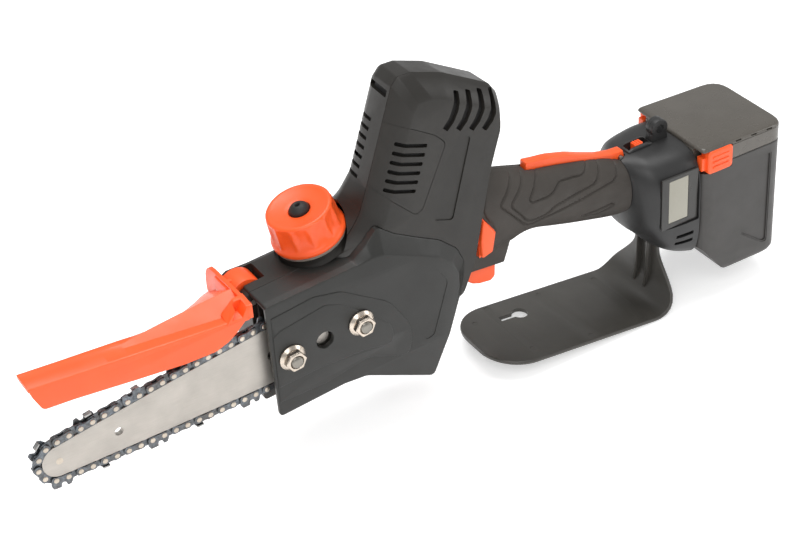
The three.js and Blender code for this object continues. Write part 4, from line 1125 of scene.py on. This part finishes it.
def hand_guard():
    def level(x):
        """Height of the tray's middle surface, which falls towards the battery."""
        return -3.2 - 0.0975 * (x + 208)

    # The tray's middle line from front to rear: X, Z and half its width.
    path = []
    for k in range(15):
        t = pi / 2 * k / 14
        x = -208 + 29 * (1 - cos(t))
        path.append((x, level(x), 9.5 + 28.5 * sin(t)))
    path += [(x, level(x), 38) for x in range(-170, -79, 10)]
    path += [
        (-76, -16.1, 38), (-71, -16.2, 38), (-66, -14.6, 38), (-62, -11.8, 37.4), (-59.2, -8.2, 36),
        (-57.2, -4, 33.4), (-56.2, 0, 30), (-55.7, 4, 26.4), (-55.4, 8, 22.8), (-55.2, 12, 19.4),
        (-55.1, 16, 16.4), (-55, 20, 14.2), (-54.9, 26, 13), (-54.8, 34, 13),
    ]
    rings = []
    half_thick = 1.5
    for i, (x, z, half) in enumerate(path):
        a, b = path[max(0, i - 1)], path[min(len(path) - 1, i + 1)]
        along = Vector((b[0] - a[0], b[1] - a[1])).normalized()
        ring = []
        for side in (1, -1):
            for k in range(7):
                t = pi / 2 - pi * k / 6
                off = half_thick * sin(t) * side
                y = side * (half - half_thick + half_thick * cos(t))
                ring.append((x - along.y * off, y, z + along.x * off))
        rings.append(ring)
    rib = [(-63, -10.5), (-57, -9), (-55, 34), (-60, 34), (-60.6, 8), (-61.4, -2)]
    shape = fuse(loft(rings), *[plate(rib, y - 1.2, y + 1.2, 0.3, [1, 1, 1, 1, 12, 8]) for y in (-6, 6)])
    cut(shape, bell_loft(-GAP, 24, 64), lean(turned([(6, -20), (6, 10)]), Matrix.Translation((-157, 17, 0))),
        block(-174, -157, 14.4, 19.6, -20, 10))
    for x, y in ((-175, 33), (-131, 30), (-83, 27), (-193, 21), (-175, -25), (-129, -32), (-82, -33)):
        mark = turned([(2.3, level(x) + 1.25), (2.3, level(x) + 5)], 32)
        cut(shape, lean(mark, Matrix.Translation((x, y, 0))))
    settle(shape, "hand_guard_tray", "hand_guard", "black_plastic", "tray", angle=40)


# -------- battery

LATCH_X, LATCH_Z = (-33, -11), (92, 110.2)
BATTERY = [(37, 38), (-37, 38), (-37, -38), (37, -38)]


def latch_recesses():
    return [block(LATCH_X[0] - 10, LATCH_X[1] + GAP, y, y + 23, LATCH_Z[0] - GAP, LATCH_Z[1] + GAP)
            for y in (-50, 27)]


def battery_case():
    foot = [(0, 6.6), (0.5, 4.6), (1.7, 2.7), (3.3, 1.2), (5.3, 0.3), (7.2, 0), (96, 0), (96.65, 0.5)]
    case = slab(BATTERY, foot, [14, 6, 11, 12])
    slant = [(-60, 30), (-37, 30), (-33, 27), (-15, 4), (0, -0.3), (0, -10), (-60, -10)]
    cut(case, plate(slant, -60, 60, 0, [1, 6, 6, 16, 6, 1, 1]), block(-40, -33.6, -10.6, 10.6, -5, 88),
        block(-33.7, -29.8, -14.6, 14.6, -5, 88), *latch_recesses())
    panel = [(2, 89), (25, 89), (25, 13.5), (21, 14.4), (2, 28.5)]
    for side in (-1, 1):
        cut(case, plate(inset(panel, -1), *sided(side, 37.5, 45), 0, [2, 2, 3, 6, 2]),
            plate(panel, *sided(side, 36.6, 45), 0, [1.5, 1.5, 3, 6, 2]))
    settle(case, "battery_case_moulded", "battery_case", "black_plastic", "case", angle=30)


def battery_lid():
    rise = [(97, 0.5), (97.6, 0), (108.6, 0), (109, 0.35), (109.4, 0.35), (109.8, 0), (111, 0), (112, 0.4),
            (112.7, 1.1), (113, 2.2)]
    lid = slab(BATTERY, rise, [14, 3, 3, 12])
    cut(lid, *latch_recesses(), *[block(x, x + 5, *sided(side, 36.6, 45), 110.6, 111.9)
                                  for x in (-8, 6, 20) for side in (-1, 1)])
    for vertex in lid.data.vertices:
        x, _, z = (c / MM for c in vertex.co)
        if z > 108:
            vertex.co.z -= (x + 37) / 74 * 2.3 * min(1, (z - 108) / 3) * MM
    settle(lid, "battery_lid_moulded", "battery_lid", "black_plastic", "lid", angle=30)


def latches():
    for side, name in ((-1, "near"), (1, "far")):
        pad = plate(rectangle(*LATCH_X, *LATCH_Z), *sided(side, 39.4, 30.5), 1.3, 3.2)
        tongue = block(LATCH_X[0] - 3.5, LATCH_X[0] + 2, *sided(side, 30.5, 36.5), LATCH_Z[0] + 3,
                       LATCH_Z[1] - 5, 0.5)
        ribs = [block(LATCH_X[0] + 4, LATCH_X[1] - 4, *sided(side, 38.6, 40.1), z, z + 1.7, 0.5)
                for z in (LATCH_Z[0] + 4.2 + k * 4 for k in range(3))]
        fuse(pad, tongue, *ribs)
        settle(pad, "latch_" + name + "_ribbed", "latch_button_" + name, "orange_plastic", angle=34)


def screws():
    profile = [(1.5, 13.4), (1.5, 3), (3.1, 2.7), (3.2, 2.4), (3.2, 0.9), (2.9, 0.5), (2, 0.3)]
    for i, (x, z, y) in enumerate(FAR_SCREWS):
        socket = loft([[(px, py, h) for px, py in arc(0, 0, 1.3, 0, 300, 5)] for h in (0, 1.8)])
        name = "housing_screw_" + str(i + 1)
        screw = lean(cut(turned(profile, 32), socket), along_y(x, z, y))
        settle(screw, name + "_socket", name, "bar_steel", "screw")


# -------- assembly

CARRIED = {
    "bar_steel": [
        "drive_sprocket", "sprocket_spindle", "sprocket_circlip", "spindle_bearing_front",
        "spindle_bearing_rear", "nose_sprocket", "motor_can", "motor_rotor", "motor_bearing_lower",
        "motor_bearing_upper", "motor_mount_plate", "tensioner_pin", "tensioner_screw", "bar_guard_pin",
        "trigger_pin", "safety_lever_pin",
    ],
    "gear_metal": ["crown_gear", "motor_pinion"],
    "copper_winding": ["motor_stator"],
    "clear_seal": ["oil_pickup_tube"],
    "black_plastic": ["motor_fan", "trigger_switch", "battery_rail"],
    "circuit_board": ["display_module", "controller_board", "battery_board"],
    "cell_metal": ["battery_cells"],
}
for slot_name, node_names in CARRIED.items():
    for node_name in node_names:
        node = frame["nodes"][node_name]
        node.data.materials.clear()
        node.data.materials.append(MATERIALS[slot_name])

for build in (
        bar_guard, guide_bar, saw_chain, nuts_and_studs, oil_cap, main_housing, vent_shade_sheet, tower_side_cover,
        vent_grille, sprocket_cover, grip, controls, bell, display, hand_guard, battery_case, battery_lid,
        latches, screws):
    build()


# -------- stage

def camera():
    data = bpy.data.cameras.new("camera")
    data.lens = 87.14
    data.sensor_width = 36
    data.clip_start, data.clip_end = 0.01, 50
    made = linked("camera", data)
    azimuth, elevation, roll = radians(-29.42), radians(35.148), radians(-4.04)
    back = Vector((sin(azimuth) * cos(elevation), -cos(azimuth) * cos(elevation),
                   sin(elevation)))
    turn = (-back).to_track_quat("-Z", "Y").to_matrix() @ Matrix.Rotation(roll, 3, "Z")
    made.matrix_world = Matrix.Translation(Vector((-785.07, -924.44, 828.82)) * MM) @ turn.to_4x4()
    bpy.context.scene.camera = made


MIDDLE = Vector((-0.24, 0, 0.08))


def softbox(name, place, size, power):
    data = bpy.data.lights.new(name, "AREA")
    data.shape = "RECTANGLE"
    data.size, data.size_y = size
    data.energy = power
    made = linked(name, data)
    made.location = place
    made.rotation_euler = (MIDDLE - Vector(place)).to_track_quat("-Z", "Y").to_euler()


def stage():
    half = 9000
    corners = [(-half, -half, 0), (half, -half, 0), (half, half, 0), (-half, half, 0)]
    floor = to_mesh(corners, [(0, 1, 2, 3)], "floor")
    floor.location.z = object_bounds()[0].z - 0.0005
    g = Graph("pale_floor")
    g.finish(g.blend(g.spread(g.noise(3, 2), 0, 1), (0.9, 0.9, 0.9, 1), (0.93, 0.93, 0.93, 1)), 0.9,
             Emission_Color=(1, 1, 1, 1), Emission_Strength=0.45)
    floor.data.materials.append(g.material)
    floor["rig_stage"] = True
    world = bpy.data.worlds.new("studio")
    world.use_nodes = True
    world.node_tree.nodes["Background"].inputs["Color"].default_value = (1, 1, 1, 1)
    world.node_tree.nodes["Background"].inputs["Strength"].default_value = 0.5
    bpy.context.scene.world = world
    softbox("key", (-0.9, -1.0, 1.3), (0.9, 0.9), 9)
    softbox("top", (-0.1, 0.3, 1.6), (1.3, 0.9), 17)
    softbox("side", (1.2, -0.8, 0.7), (0.6, 0.8), 5)
    bpy.context.scene.view_settings.view_transform = "Standard"


camera()
stage()
